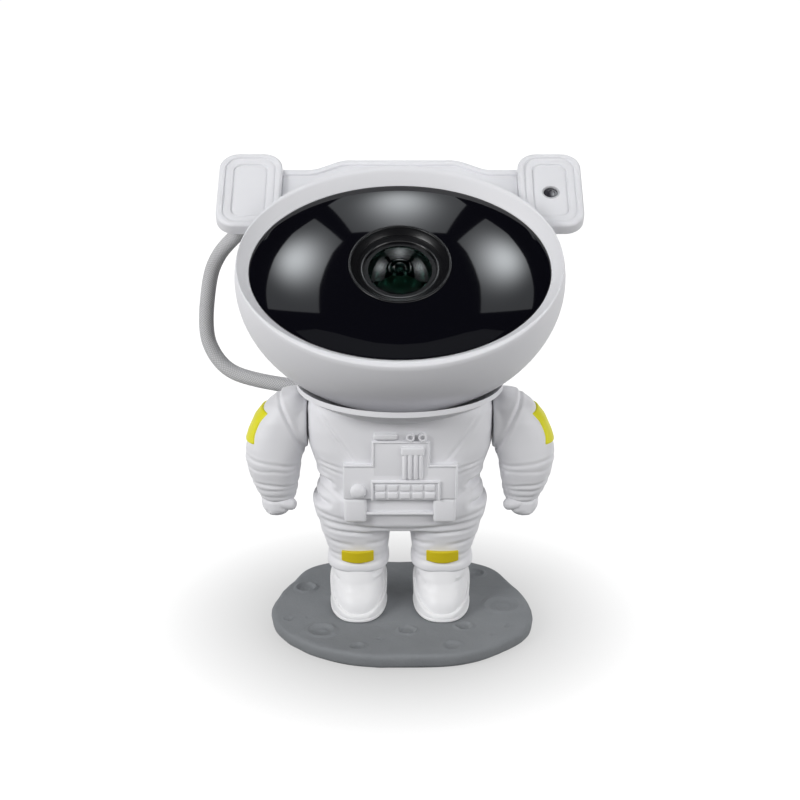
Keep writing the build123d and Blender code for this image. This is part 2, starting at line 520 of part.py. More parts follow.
def wheels():
    """Pattern wheel, grating wheel and motor pinion, in mesh at rest."""
    low = GEAR_MID_F - GEAR_T / 2
    half = 180.0 / WHEEL_TEETH
    pattern = Pos(*WHEEL_AT, low) * gear(WHEEL_TEETH, GEAR_T, PINION_BEARING_DEG + half)
    pattern += ring(AXLE_BOSS_R + 1.0, AXLE_R + RUN_FIT, low - HUB_T, low, WHEEL_AT)
    pattern -= drum(AXLE_R + RUN_FIT, low - 9, low + 9, WHEEL_AT)
    pattern -= ring(*WHEEL_WINDOW, low + GEAR_T - WINDOW_SINK, low + GEAR_T, WHEEL_AT)
    grating = Pos(*GRATING_AT, low) * gear(GRATING_TEETH, GEAR_T, 180.0 + 180.0 / GRATING_TEETH)
    grating += ring(AXLE_BOSS_R - 0.1, AXLE_R + RUN_FIT, low - HUB_T, low, GRATING_AT)
    grating -= drum(AXLE_R + RUN_FIT, low - 9, low + 9, GRATING_AT)
    grating -= ring(*GRATING_WINDOW, low + GEAR_T - WINDOW_SINK, low + GEAR_T, GRATING_AT)
    pinion = Pos(*PINION_AT, low) * gear(PINION_TEETH, GEAR_T, PINION_BEARING_DEG + 180)
    pinion += drum(MOTOR_SHAFT_R, FRAME_BACK_F - MOTOR_L + 1.5, low, PINION_AT)
    return pattern, grating, pinion


def light_engine():
    """Rear frame with the motor, laser, condenser, LED board, heat sink and driver board."""
    frame = drum(FRAME_R, FRAME_BACK_F, FRAME_F)
    frame -= drum(MOTOR_SHAFT_R + 1.0, FRAME_BACK_F, FRAME_F, PINION_AT)
    frame -= drum(LASER_R, FRAME_BACK_F, FRAME_F, LASER_AT)
    frame -= drum(CONDENSER_R, FRAME_BACK_F, FRAME_F)
    for turn in (200, 250, 300, 350):
        slot = Rot(0, 0, turn) * Pos(27, 0, FRAME_BACK_F + FRAME_T / 2) * Box(6, 12, FRAME_T)
        frame -= slot
    board_f = FRAME_BACK_F - BOARD_GAP
    for x in (-7.5, 7.5):
        for u in (-17.0, 17.0):
            frame += drum(STANDOFF_R, board_f, FRAME_BACK_F, (BOARD_AT[0] + x, BOARD_AT[1] + u))
    led_f = FRAME_BACK_F - LED_GAP
    for side in (-1, 1):
        frame += drum(STANDOFF_R, led_f, FRAME_BACK_F, (side * 8.5, -side * 8.5))
    condenser = drum(CONDENSER_R, FRAME_BACK_F, FRAME_F) + (
        drum(CONDENSER_R - 1.0, FRAME_F, FRAME_F + 3) & (Pos(0, 0, FRAME_F - 15.1) * Sphere(16)))
    sink_f = led_f - LED_BOARD_T
    led = slab(-SINK_HALF, SINK_HALF, -SINK_HALF, SINK_HALF, sink_f, led_f)
    led += drum(2.0, led_f, led_f + 0.8) & (Pos(0, 0, sink_f) * Sphere(2.4))
    fin_f = sink_f - SINK_BASE_T
    sink = slab(-SINK_HALF, SINK_HALF, -SINK_HALF, SINK_HALF, fin_f, sink_f)
    for fin in range(SINK_FINS):
        x = -SINK_HALF + fin * (2 * SINK_HALF - SINK_FIN_T) / (SINK_FINS - 1)
        sink += slab(x, x + SINK_FIN_T, -SINK_HALF, SINK_HALF, fin_f - SINK_FIN_L, fin_f)
    motor = drum(MOTOR_R, FRAME_BACK_F - MOTOR_L, FRAME_BACK_F, PINION_AT)
    motor -= drum(MOTOR_SHAFT_R + RUN_FIT, FRAME_BACK_F - MOTOR_L + 1.2, FRAME_BACK_F, PINION_AT)
    laser = drum(LASER_R, FRAME_F - LASER_L, FRAME_F, LASER_AT)
    laser -= drum(1.2, FRAME_F - 1.5, FRAME_F, LASER_AT)
    driver = Pos(*BOARD_AT, board_f - BOARD_T) * extrude(Rectangle(*BOARD_SIZE), BOARD_T)
    for x, u, w, h, tall in CHIPS:
        chip = Pos(BOARD_AT[0] + x, BOARD_AT[1] + u, board_f - BOARD_T - tall / 2)
        driver += chip * Box(w, h, tall)
    return frame, condenser, led, sink, motor, laser, driver


def head_screws():
    """Four helmet screws from behind and four that hold the chassis."""
    group = []
    for x in (-HELMET_SCREW_X, HELMET_SCREW_X):
        for t in (-HELMET_SCREW_T, HELMET_SCREW_T):
            place = seam_plane(HELMET_SCREW_SEAT) * Pos(x, t, 0)
            group.append(place * screw(HELMET_SCREW_SEAT + HELMET_BOSS_L - 2))
    for x in (-POST_X, POST_X):
        for u in (-POST_U, POST_U):
            place = Pos(x, u, CHASSIS_F - CHASSIS_T) * Rot(180, 0, 0)
            group.append(place * screw(CHASSIS_T + CHASSIS_BITE_L))
    return Compound([on_head(s) for s in group])


def keeper_strip():
    """Steel strip inside the helmet that the neck magnet holds, curved about the tilt axis."""
    inner_r = HEAD_RADIUS - WALL - KEEPER_T
    profile = make_face(Polyline(
        (-KEEPER_HALF_W, inner_r), (KEEPER_HALF_W, inner_r),
        (KEEPER_HALF_W, HEAD_RADIUS), (-KEEPER_HALF_W, HEAD_RADIUS), close=True))
    strip = Rot(KEEPER_FROM_DEG, 0, 0) * revolve(profile, Axis.X, KEEPER_SWEEP_DEG)
    return Pos(0, 0, HEAD_Z) * (strip & spheroid(-WALL))


def hose_ferrule():
    """Tapered sleeve that leads the hose out of the back of the left ear."""
    start, toward = Vector(*HOSE_UPPER[0]), Vector(*HOSE_UPPER[1])
    plane = Plane(origin=start, z_dir=(toward - start))
    sleeve = loft([Pos(0, 0, -FERRULE_L) * Circle(HOSE_D / 2 + FERRULE_BACK_T),
                   Pos(0, 0, FERRULE_GRIP) * Circle(HOSE_D / 2 + FERRULE_TIP_T)])
    sleeve -= drum(HOSE_D / 2, 0, FERRULE_GRIP)
    ear_back = Pos(0, 0, BIG / 2 + EAR_F - EAR_T) * Box(BIG, BIG, BIG)
    return (plane * sleeve) - on_head(ear_back)


# ---------------------------------------------------------------- neck
def dish(drop):
    """All that the helmet sweeps when it turns, with the dish gap, lowered by a drop."""
    sweep_of_helmet = ellipsoid(HEAD_HALF_WIDTH, HEAD_HALF_WIDTH, HEAD_RADIUS)
    return Pos(0, 0, HEAD_Z - DISH_GAP - drop) * sweep_of_helmet


def neck_collar():
    """Dished collar with the bearing of the neck in its middle."""
    pocket_r = SADDLE_R + GAP
    floor_z = SADDLE_LOW_Z - GAP
    low_z = floor_z - HUB_FLOOR_T
    collar = drum(COLLAR_R, low_z, COLLAR_TOP_Z) & dish(DISH_T)
    collar += ring(COLLAR_R, COLLAR_R - COLLAR_RIM, COLLAR_LOW_Z, COLLAR_TOP_Z)
    collar = fillet(collar.edges().group_by(Axis.Z)[-1].filter_by(
        lambda edge: edge.radius > COLLAR_R - 0.1), 0.8)
    collar += drum(pocket_r + WALL, low_z, COLLAR_LOW_Z)
    collar -= dish(0)
    collar -= drum(pocket_r, floor_z, COLLAR_TOP_Z)
    collar += drum(PIVOT_R + 3, floor_z - BEARING_L, floor_z)
    return collar - drum(PIVOT_R + RUN_FIT, floor_z - BEARING_L, floor_z)


def neck_parts():
    """Saddle that turns in the collar, its magnet and the clip that keeps it there."""
    saddle = drum(SADDLE_R, SADDLE_LOW_Z, HEAD_Z) - Pos(0, 0, HEAD_Z) * spheroid(GAP)
    groove_z = SADDLE_LOW_Z - GAP - BEARING_L - GAP
    saddle += drum(PIVOT_R, PIVOT_LOW_Z, SADDLE_LOW_Z)
    neck_r = PIVOT_R - CLIP_DEPTH
    clip = ring(PIVOT_R + CLIP_REACH, neck_r, groove_z - CLIP_T, groove_z)
    clip -= slab(-1.5, 1.5, 0, BIG, 0, BIG)
    saddle -= ring(PIVOT_R + 1, neck_r, groove_z - CLIP_T, groove_z)
    pocket_z = SADDLE_LOW_Z + MAGNET_FLOOR_T
    magnet = drum(MAGNET_R, pocket_z, pocket_z + MAGNET_T)
    magnet -= Pos(0, 0, HEAD_Z) * spheroid(GAP)
    return saddle - magnet, magnet, clip


# ---------------------------------------------------------------- stand
def base_outline(inset):
    """The plate's outline, drawn in towards the middle by an inset."""
    points = [Vector(x, y) for x, y in BASE_OUTLINE]
    return make_face(Spline(*[p * (1 - inset / p.length) for p in points], periodic=True))


def base_parts():
    """Moon plate with craters and the soft pad under it."""
    plate = up_from(PAD_T, base_outline(0), BASE_TOP_Z - PAD_T)
    plate = fillet(plate.edges().group_by(Axis.Z)[-1], 1.6)
    plate = chamfer(plate.edges().group_by(Axis.Z)[0], 0.5)
    for x, y, r, depth in CRATERS:
        crest, foot = r + CRATER_CREST, r + CRATER_CREST + 2 * CRATER_FLANK
        mound = turned([(0, -CRATER_RISE), (foot, -CRATER_RISE), (crest, CRATER_RISE),
                        (0, CRATER_RISE)])
        plate += Pos(x, y, BASE_TOP_Z) * mound
        hollow = depth + CRATER_RISE
        ball = (r * r + hollow * hollow) / (2 * hollow)
        plate -= Pos(x, y, BASE_TOP_Z - depth + ball) * Sphere(ball)
    for x in (-LEG_X, LEG_X):
        for y in (-SCREW_Y, SCREW_Y):
            plate -= drum(SCREW_R + SCREW_CLEAR, 0, BASE_TOP_Z, (x, y))
            plate -= drum(SCREW_HEAD_R + GAP, 0, PAD_T + SCREW_HEAD_T + SCREW_SINK, (x, y))
    pad = up_from(0, base_outline(PAD_INSET), PAD_T)
    return plate, pad


def boot(side):
    """Sole and hollow boot of one foot."""
    x = side * LEG_X
    length = BOOT_HEEL_Y - BOOT_TOE_Y
    middle = (BOOT_HEEL_Y + BOOT_TOE_Y) / 2
    half = BOOT_W / 2
    sole_top = BASE_TOP_Z + SOLE_T
    sole = extrude(rounded_section(BASE_TOP_Z, x, half + SOLE_PROUD, length / 2 + SOLE_PROUD,
                                   half, middle), SOLE_T)

    def shape(wall, low, high):
        rows = [(0.0, half - 0.4, length / 2 - 0.2, middle), (0.36, half, length / 2, middle),
                (0.70, half - 0.3, length / 2 - 2.4, middle + 2.2),
                (1.0, half - 0.2, length / 2 - 3.9, middle + 3.9)]
        return loft([rounded_section(low + share * (high - low), x, w - wall, d - wall,
                                     half - wall, cy) for share, w, d, cy in rows])

    body = shape(0, sole_top, BOOT_TOP_Z)
    body -= shape(WALL, sole_top + WALL, BOOT_TOP_Z + 0.01)
    for y in (-SCREW_Y, SCREW_Y):
        body += drum(BOSS_R, sole_top, BOOT_TOP_Z, (x, y))
        sole -= drum(SCREW_R + SCREW_CLEAR, BASE_TOP_Z, sole_top, (x, y))
        body -= drum(SCREW_R + SCREW_CLEAR, sole_top, BOOT_TOP_Z, (x, y))
    return sole, body


def body_solid(wall):
    """Torso and legs as one closed shape, shrunk by a wall."""
    torso = loft([rounded_section(z - (wall if z > 100 else 0), 0, w - wall, d - wall,
                                  TORSO_CORNER - wall) for z, w, d in TORSO])
    body = torso
    for side in (-1, 1):
        body += loft([rounded_section(z + (wall if z == BOOT_TOP_Z else 0), side * x, w - wall,
                                      d - wall, LEG_CORNER - wall) for z, x, w, d in LEG])
    return body


def torso_shells(solid):
    """Front and back shell of torso and legs, with the arm bearings between them."""
    hollow = solid - (body_solid(BODY_WALL) - dish(DISH_T + BODY_WALL))
    for side in (-1, 1):
        block = slab(side * (SHOULDER_X - BEARING_T), side * (SHOULDER_X - 2 * GAP),
                     -BEARING_HALF, BEARING_HALF, SHOULDER_Z - BEARING_HALF,
                     SHOULDER_Z + BEARING_HALF)
        hollow += block & solid
        at = side * LEG_X
        for y in (-SCREW_Y, SCREW_Y):
            boss = drum(BOSS_R, BOOT_TOP_Z, BOOT_TOP_Z + LEG_BOSS_L, (at, y)) & solid
            hollow += boss
            hollow -= drum(SCREW_R, BOOT_TOP_Z, BOOT_TOP_Z + LEG_BITE_L, (at, y))
        face_x = side * SHOULDER_X
        hollow -= rod_x(HUB_SHAFT_R + RUN_FIT, face_x - side * 20, face_x + side * 20, 0, SHOULDER_Z)
        hollow -= rod_x(HUB_DISC_R + 1, face_x, face_x + side * 20, 0, SHOULDER_Z)
    hollow -= drum(SADDLE_R + GAP + 2, SADDLE_LOW_Z - GAP - HUB_FLOOR_T, HEAD_Z)
    for x, z in TORSO_SCREWS:
        hollow += rod_y(BOSS_R, -BIG / 4, BIG / 4, x, z) & solid
        hollow -= rod_y(SCREW_R, TORSO_SEAT_Y - TORSO_SCREW_L, TORSO_SEAT_Y, x, z)
        hollow -= rod_y(SCREW_HEAD_R + GAP, TORSO_SEAT_Y, BIG / 4, x, z)
    back_half = Pos(0, BIG / 2, 0) * Box(BIG, BIG, 2 * BIG)
    return hollow - back_half, hollow & back_half


def body_screws():
    """Boot screws from under the base and torso screws from under the backpack."""
    group = []
    seat_z = PAD_T + SCREW_HEAD_T + SCREW_SINK
    for x in (-LEG_X, LEG_X):
        for y in (-SCREW_Y, SCREW_Y):
            place = Pos(x, y, seat_z) * Rot(180, 0, 0)
            group.append(place * screw(BOOT_TOP_Z + LEG_BITE_L - 2 - seat_z))
    for x, z in TORSO_SCREWS:
        group.append(Pos(x, TORSO_SEAT_Y, z) * Rot(-90, 0, 0) * screw(TORSO_SCREW_L))
    return Compound(group)


def chest_panel(solid):
    """Raised life-support panel, pouch straps and belt on the chest."""
    panel = Part()
    back_y = CHEST_BACK - CHEST_HALF_D
    for x0, x1, z0, z1, proud in CHEST:
        panel += slab(x0, x1, -CHEST_HALF_D - proud, back_y, z0, z1)
    x, proud, z, r, length = CHEST_TUBE
    panel += Pos(x, -CHEST_HALF_D - proud, z) * Cylinder(r, length)
    for x, z, r, proud in CHEST_KNOBS:
        panel += rod_y(r, -CHEST_HALF_D - proud, back_y, x, z)
    return panel - solid - dish(DISH_T)


def knee_patches(solid):
    """Two bevelled knee patches that follow the legs."""
    patches = []
    for side in (-1, 1):
        x = side * LEG_X
        strip = slab(x - KNEE_W / 2, x + KNEE_W / 2, -BIG / 4, -5, KNEE_LOW_Z, KNEE_HIGH_Z)
        skin = loft([rounded_section(z, side * cx, w + KNEE_T, d + KNEE_T, LEG_CORNER + KNEE_T)
                     for z, cx, w, d in LEG])
        patches.append((skin & strip) - solid)
    return Compound(patches)


def arm(side):
    """Sleeve with its hub, glove and shoulder patch of one arm."""
    def puff(grow):
        return loft([rounded_section(z, side * (SHOULDER_X + x), w + grow, d + grow,
                                     ARM_CORNER + grow) for z, x, w, d in ARM])

    def across(radius, x0, x1):
        return rod_x(radius, side * x0, side * x1, 0, SHOULDER_Z)

    inner_face = SHOULDER_X + GAP
    side_box = slab(-inner_face, inner_face, -BIG / 4, BIG / 4, 0, BIG)
    shaft_in = SHOULDER_X - BEARING_T - 2 * GAP
    disc = across(HUB_DISC_R, inner_face, inner_face + HUB_DISC_T)
    shaft = across(HUB_SHAFT_R, shaft_in, inner_face + 1)
    flange = across(HUB_FLANGE_R, shaft_in - HUB_FLANGE_T, shaft_in)
    sleeve = (puff(0) - puff(-BODY_WALL) + disc) - side_box
    patch_x = SHOULDER_X + PATCH_X
    patch = (puff(PATCH_T) - puff(0)) & slab(
        side * patch_x, side * (patch_x + BIG / 4), -PATCH_HALF_Y, PATCH_HALF_Y,
        PATCH_Z0, PATCH_Z1)
    low_z, x, w, d = ARM[-1]
    x += SHOULDER_X
    palm = loft([rounded_section(low_z, side * x, w - 0.4, d - 0.4, 7.0),
                 rounded_section(low_z - 4, side * x, w - 0.2, d + 0.4, 7.2),
                 rounded_section(GLOVE_LOW_Z, side * (x - 0.4), w - 2.0, d - 1.6, 5.5)])
    thumb = Pos(side * (x - w + THUMB_R / 2), THUMB_Y, low_z - 4.6) * Rot(25, 0, 0) * Cylinder(
        THUMB_R, THUMB_L)
    return sleeve + shaft + flange, palm + thumb, patch


# ---------------------------------------------------------------- backpack
def backpack():
    """Shell behind the torso with the boards, switches, buttons and both sockets."""
    width, height = 2 * PACK_HALF_W, PACK_HIGH_Z - PACK_LOW_Z
    centre = Pos(0, PACK_BACK_Y, (PACK_HIGH_Z + PACK_LOW_Z) / 2) * Rot(90, 0, 0)
    shell = centre * extrude(RectangleRounded(width, height, PACK_CORNER), PACK_DEPTH)
    shell = fillet(shell.edges().group_by(Axis.Y)[-1], 2.5)
    shell -= centre * Pos(0, 0, WALL) * extrude(RectangleRounded(
        width - 2 * WALL, height - 2 * WALL, PACK_CORNER - WALL + 0.5), BIG / 4)
    board_back = PACK_BOARD_Y + PACK_BOARD_T
    for x in (PACK_POST_IN - PACK_BOARD_HALF_W, PACK_BOARD_HALF_W - PACK_POST_IN):
        for z in (PACK_BOARD_Z0 + PACK_POST_IN, PACK_BOARD_Z1 - PACK_POST_IN):
            shell += rod_y(STANDOFF_R, board_back, PACK_BACK_Y - WALL / 2, x, z)
    board = slab(-PACK_BOARD_HALF_W, PACK_BOARD_HALF_W, PACK_BOARD_Y, board_back,
                 PACK_BOARD_Z0, PACK_BOARD_Z1)
    for x0, x1, z0, z1, tall in PACK_CHIPS:
        board += slab(x0, x1, PACK_BOARD_Y - tall, PACK_BOARD_Y, z0, z1)
    switches, buttons = [], {}
    for name, (x, z, r) in BUTTONS.items():
        seat_y = PACK_BACK_Y - WALL - BUTTON_SEAT_T
        seat = rod_y(r + GAP + 1.2, seat_y, PACK_BACK_Y - WALL, x, z)
        shell = (shell + seat) - rod_y(r + GAP, seat_y - 3, PACK_BACK_Y + 3, x, z)
        key_y = SWITCH_TOP_Y - SWITCH_KEY_L
        switches.append(
            slab(x - SWITCH_HALF, x + SWITCH_HALF, board_back, key_y, z - SWITCH_HALF,
                 z + SWITCH_HALF) + rod_y(SWITCH_KEY_R, key_y, SWITCH_TOP_Y, x, z))
        cap = rod_y(r, BUTTON_LIP_Y, PACK_BACK_Y + BUTTON_PROUD, x, z)
        cap = fillet(cap.edges().group_by(Axis.Y)[-1], 0.7)
        cap += rod_y(r + BUTTON_LIP, BUTTON_LIP_Y - BUTTON_LIP_T, BUTTON_LIP_Y, x, z)
        buttons[name] = cap + rod_y(SWITCH_KEY_R, BUTTON_TIP_Y, BUTTON_LIP_Y, x, z)
    usb = usb_inlet(board_back)
    port = RectangleRounded(USB_W + 2 * USB_PLAY, USB_H + 2 * USB_PLAY, USB_H / 2 - 0.1)
    shell -= Pos(0, PACK_BACK_Y, USB_Z) * Rot(90, 0, 0) * extrude(port, 12, both=True)
    x, y, z = HOSE_LOWER[0]
    wall_x = -PACK_HALF_W
    socket = rod_x(SOCKET_R, wall_x, x - SOCKET_GRIP, y, z)
    socket += rod_x(SOCKET_NUT_R, wall_x + WALL, wall_x + WALL + SOCKET_NUT_T, y, z)
    socket += rod_x(SOCKET_STEM_R, wall_x, wall_x + WALL, y, z)
    socket -= rod_x(HOSE_D / 2, x, x - SOCKET_GRIP, y, z)
    shell -= rod_x(SOCKET_STEM_R, wall_x - 1, wall_x + WALL + 1, y, z)
    shell -= body_solid(0.0) + dish(DISH_T + GAP)
    return {"backpack_shell": shell, "control_board": board,
            "tact_switches": Compound(switches), "usb_socket": usb, "hose_socket": socket,
            **buttons}


def usb_inlet(board_back):
    """USB-C socket on the back of the control board."""
    def pill(trim, y):
        outline = RectangleRounded(USB_W - 2 * trim, USB_H - 2 * trim, USB_H / 2 - trim - 0.1)
        return Pos(0, y, USB_Z) * Rot(-90, 0, 0) * extrude(outline, mouth_y - board_back)

    mouth_y = PACK_BACK_Y - USB_SINK
    floor_y = board_back + 1.2
    tongue = slab(-USB_TONGUE_HALF_W, USB_TONGUE_HALF_W, floor_y, mouth_y - 1.0,
                  USB_Z - USB_TONGUE_HALF_T, USB_Z + USB_TONGUE_HALF_T)
    return pill(0, board_back) - pill(USB_SKIN, floor_y) + tongue


# ---------------------------------------------------------------- the whole object
def mirrored(shape):
    return mirror(shape, Plane.YZ)


def build():
    """All pieces by node name, in the rest pose."""
    front_shell, rear_shell = helmet_shells()
    left_ear, ear_cap = ear(False)
    right_ear, _ = ear(True)
    window, receiver = ir_parts()
    bezel, barrel, front_lens, rear_lens = lens_group()
    pattern, grating, pinion = wheels()
    frame, condenser, led, sink, motor, laser, driver = light_engine()
    nodes = {name: on_head(shape) for name, shape in {
        "helmet_front_shell": front_shell, "helmet_rear_shell": rear_shell, "visor": visor(),
        "left_ear_shell": mirrored(left_ear), "right_ear_shell": right_ear,
        "left_ear_cap": mirrored(ear_cap), "right_ear_cap": ear_cap,
        "ir_window": window, "ir_receiver": receiver, "crown_bar": crown_bar(),
        "lens_bezel": bezel, "lens_barrel": barrel, "front_lens": front_lens,
        "rear_lens": rear_lens, "optical_chassis": optical_chassis(),
        "pattern_wheel": pattern, "grating_wheel": grating, "motor_pinion": pinion,
        "rear_frame": frame, "condenser_lens": condenser, "led_board": led, "heat_sink": sink,
        "drive_motor": motor, "laser_module": laser, "driver_board": driver,
    }.items()}
    nodes["head_screws"] = head_screws()
    nodes["keeper_strip"] = keeper_strip()
    nodes["hose_ferrule"] = hose_ferrule()
    nodes["hose_upper"] = hose(HOSE_UPPER)
    nodes["hose_lower"] = hose(HOSE_LOWER)
    nodes["neck_collar"] = neck_collar()
    nodes["neck_saddle"], nodes["neck_magnet"], nodes["neck_clip"] = neck_parts()
    solid = body_solid(0.0) - dish(DISH_T)
    nodes["torso_front_shell"], nodes["torso_back_shell"] = torso_shells(solid)
    nodes["chest_panel"] = chest_panel(solid)
    nodes["knee_patches"] = knee_patches(solid)
    nodes["body_screws"] = body_screws()
    nodes["base_plate"], nodes["base_pad"] = base_parts()
    soles = []
    for side, word in ((-1, "left"), (1, "right")):
        sole, nodes[f"{word}_boot"] = boot(side)
        soles.append(sole)
        sleeve, glove, patch = arm(side)
        nodes[f"{word}_arm"], nodes[f"{word}_glove"] = sleeve, glove
        nodes[f"{word}_shoulder_patch"] = patch
    nodes["boot_soles"] = Compound(soles)
    nodes.update(backpack())
    return nodes


os.makedirs("parts", exist_ok=True)
for node_name, node_shape in build().items():
    export_step(node_shape, f"parts/{node_name}.step")
    print(node_name)
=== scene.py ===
"""Looks of a spaceman star projector on its moon plate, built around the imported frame.

Shapes are drawn in millimetres, in the row frame or in the frame of the visor (x, u, f), and every
finished mesh is brought to metres with its object at the origin.
"""

import json
import logging
from dataclasses import dataclass, replace
from enum import Enum
from math import atan2, cos, degrees, exp, hypot, pi, radians, sin, sqrt
from typing import Iterable, Sequence

import bmesh
import bpy
from mathutils import Matrix, Vector, noise


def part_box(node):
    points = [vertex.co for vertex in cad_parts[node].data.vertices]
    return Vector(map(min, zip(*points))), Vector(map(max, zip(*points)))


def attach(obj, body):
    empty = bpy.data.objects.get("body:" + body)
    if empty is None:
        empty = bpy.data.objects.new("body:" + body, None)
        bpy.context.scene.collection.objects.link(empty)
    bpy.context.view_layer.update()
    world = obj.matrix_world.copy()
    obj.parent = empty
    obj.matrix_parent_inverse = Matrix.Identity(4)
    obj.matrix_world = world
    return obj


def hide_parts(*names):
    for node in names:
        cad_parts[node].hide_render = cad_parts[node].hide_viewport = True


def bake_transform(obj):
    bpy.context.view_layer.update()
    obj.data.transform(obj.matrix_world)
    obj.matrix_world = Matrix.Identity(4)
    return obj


logging.basicConfig(level=logging.INFO, format="%(name)s: %(message)s")
log = logging.getLogger("projector")

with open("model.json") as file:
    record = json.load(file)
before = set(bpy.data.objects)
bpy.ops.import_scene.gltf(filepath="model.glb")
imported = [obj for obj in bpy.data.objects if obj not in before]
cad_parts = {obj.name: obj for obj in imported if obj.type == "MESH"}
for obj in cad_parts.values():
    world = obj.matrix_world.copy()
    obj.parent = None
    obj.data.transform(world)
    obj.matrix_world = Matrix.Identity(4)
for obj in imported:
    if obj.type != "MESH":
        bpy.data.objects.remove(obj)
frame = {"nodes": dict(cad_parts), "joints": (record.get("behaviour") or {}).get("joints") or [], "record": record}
JOINTS = {joint["name"]: joint for joint in frame["joints"]}
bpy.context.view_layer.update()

MM = 0.001
TO_METRES = Matrix.Scale(MM, 4)
VISOR_AXIS = Vector(JOINTS["pattern_wheel_spin"]["axis"])
HEAD_CENTRE = Vector(JOINTS["head_tilt"]["pos_m"]) / MM
HEAD_REST = atan2(-VISOR_AXIS.y, VISOR_AXIS.z)
HEAD_FRAME = Matrix.Translation(HEAD_CENTRE) @ Matrix.Rotation(HEAD_REST, 4, "X")

HEAD_HALF_WIDTH = 65.6
HEAD_RADIUS = 54.0
VISOR_HALF_X = 59.8
VISOR_HALF_U = 45.9
VISOR_EDGE_F = 5.25
LEG_X = 17.4
SHOULDER_Z = 88.0

ROUND_SEGMENTS = 96
DOME_SEGMENTS = (96, 48)
CRISP = 0.05
MERGE_DISTANCE = 1e-4
SHARP = radians(38)


class Side(Enum):
    """Which half of the object a paired piece is on."""

    LEFT = -1
    RIGHT = 1

    @property
    def word(self) -> str:
        """The side's name as the nodes have it."""
        return self.name.lower()


# ------------------------------------------------------------------ mesh helpers
@dataclass(frozen=True)
class Ring:
    """One closed section of a skin.

    Args:
        a: half size along the first axis.
        b: half size along the second axis.
        z: place along the third axis.
        x: centre along the first axis.
        y: centre along the second axis.
        power: 2 for an ellipse, more for a squarer section.
    """

    a: float
    b: float
    z: float
    x: float = 0.0
    y: float = 0.0
    power: float = 2.0

    def sided(self, sign: int) -> "Ring":
        """The same section on the left (-1) or on the right (1)."""
        return replace(self, x=sign * self.x)


def linked(name: str, data: bpy.types.ID) -> bpy.types.Object:
    """A new object in the scene."""
    obj = bpy.data.objects.new(name, data)
    bpy.context.scene.collection.objects.link(obj)
    return obj


def stored(name: str, bm: bmesh.types.BMesh) -> bpy.types.Mesh:
    """A new mesh in the file with the shape of one that is freed."""
    mesh = bpy.data.meshes.new(name)
    bm.to_mesh(mesh)
    bm.free()
    return mesh


def applied(obj: bpy.types.Object) -> bpy.types.Mesh:
    """The shape of an object after its modifiers or as a line; the object is removed."""
    graph = bpy.context.evaluated_depsgraph_get()
    mesh = bpy.data.meshes.new_from_object(obj.evaluated_get(graph))
    bpy.data.objects.remove(obj)
    return mesh


def curve_points(curve: bpy.types.Curve) -> list:
    """Points along a curve, which is removed."""
    line = applied(linked(curve.name, curve))
    points = [vert.co.copy() for vert in line.vertices]
    bpy.data.curves.remove(curve)
    bpy.data.meshes.remove(line)
    return points


def shaped_circle(bm: bmesh.types.BMesh, ring: Ring, segments: int) -> list:
    """Adds one ring of edges.

    Args:
        bm: the mesh to add to.
        ring: the section.
        segments: points round it.

    Returns:
        The new edges.
    """
    made = bmesh.ops.create_circle(bm, cap_ends=False, segments=segments, radius=1.0)
    edges = set()
    for vert in made["verts"]:
        c, s = vert.co.x, vert.co.y
        share = 2.0 / ring.power
        vert.co = (
            ring.x + ring.a * (abs(c) ** share) * (1 if c >= 0 else -1),
            ring.y + ring.b * (abs(s) ** share) * (1 if s >= 0 else -1),
            ring.z,
        )
        edges.update(vert.link_edges)
    return list(edges)


def bridged(bm: bmesh.types.BMesh, loops: Sequence[list], caps: str = "both") -> None:
    """Skins loops of edges, each to the next, with all faces outwards.

    Args:
        bm: the mesh that has the loops.
        loops: the edges of each loop, in order.
        caps: "both", "first", "last" or "none" of the ends are filled.
    """
    for lower, upper in zip(loops, loops[1:]):
        bmesh.ops.bridge_loops(bm, edges=lower + upper)
    for end, loop in (("first", loops[0]), ("last", loops[-1])):
        if caps in ("both", end):
            bmesh.ops.contextual_create(bm, geom=loop)
    bmesh.ops.recalc_face_normals(bm, faces=bm.faces)


def skin(rings: Sequence[Ring], segments: int = ROUND_SEGMENTS, caps: str = "both"
         ) -> bmesh.types.BMesh:
    """A skin over a stack of sections, with ends filled as for bridged loops."""
    bm = bmesh.new()
    bridged(bm, [shaped_circle(bm, ring, segments) for ring in rings], caps)
    return bm


def turned(profile: Sequence[tuple], segments: int = ROUND_SEGMENTS) -> bmesh.types.BMesh:
    """A closed solid of revolution about Z.

    Args:
        profile: (radius, height) points, joined up to a closed outline.
        segments: steps round the axis.

    Returns:
        A new mesh.
    """
    bm = bmesh.new()
    verts = [bm.verts.new((r, 0.0, z)) for r, z in profile]
    ends_on_axis = profile[0][0] < 1e-6 and profile[-1][0] < 1e-6
    edges = [bm.edges.new(pair) for pair in zip(verts, verts[1:])]
    if not ends_on_axis:
        edges.append(bm.edges.new((verts[-1], verts[0])))
    bmesh.ops.spin(bm, geom=verts + edges, cent=(0, 0, 0), axis=(0, 0, 1), angle=2 * pi,
                   steps=segments, use_merge=True)
    bmesh.ops.remove_doubles(bm, verts=bm.verts, dist=MERGE_DISTANCE)
    bmesh.ops.recalc_face_normals(bm, faces=bm.faces)
    return bm


def rounded_loop(half_w: float, half_h: float, corner: float, z: float, steps: int = 8) -> list:
    """Points of a rounded rectangle round the Z axis."""
    points = []
    for quarter, (sx, sy) in enumerate(((1, 1), (-1, 1), (-1, -1), (1, -1))):
        cx, cy = sx * (half_w - corner), sy * (half_h - corner)
        for i in range(steps + 1):
            turn = pi / 2 * (quarter + i / steps)
            points.append((cx + corner * cos(turn), cy + corner * sin(turn), z))
    return points


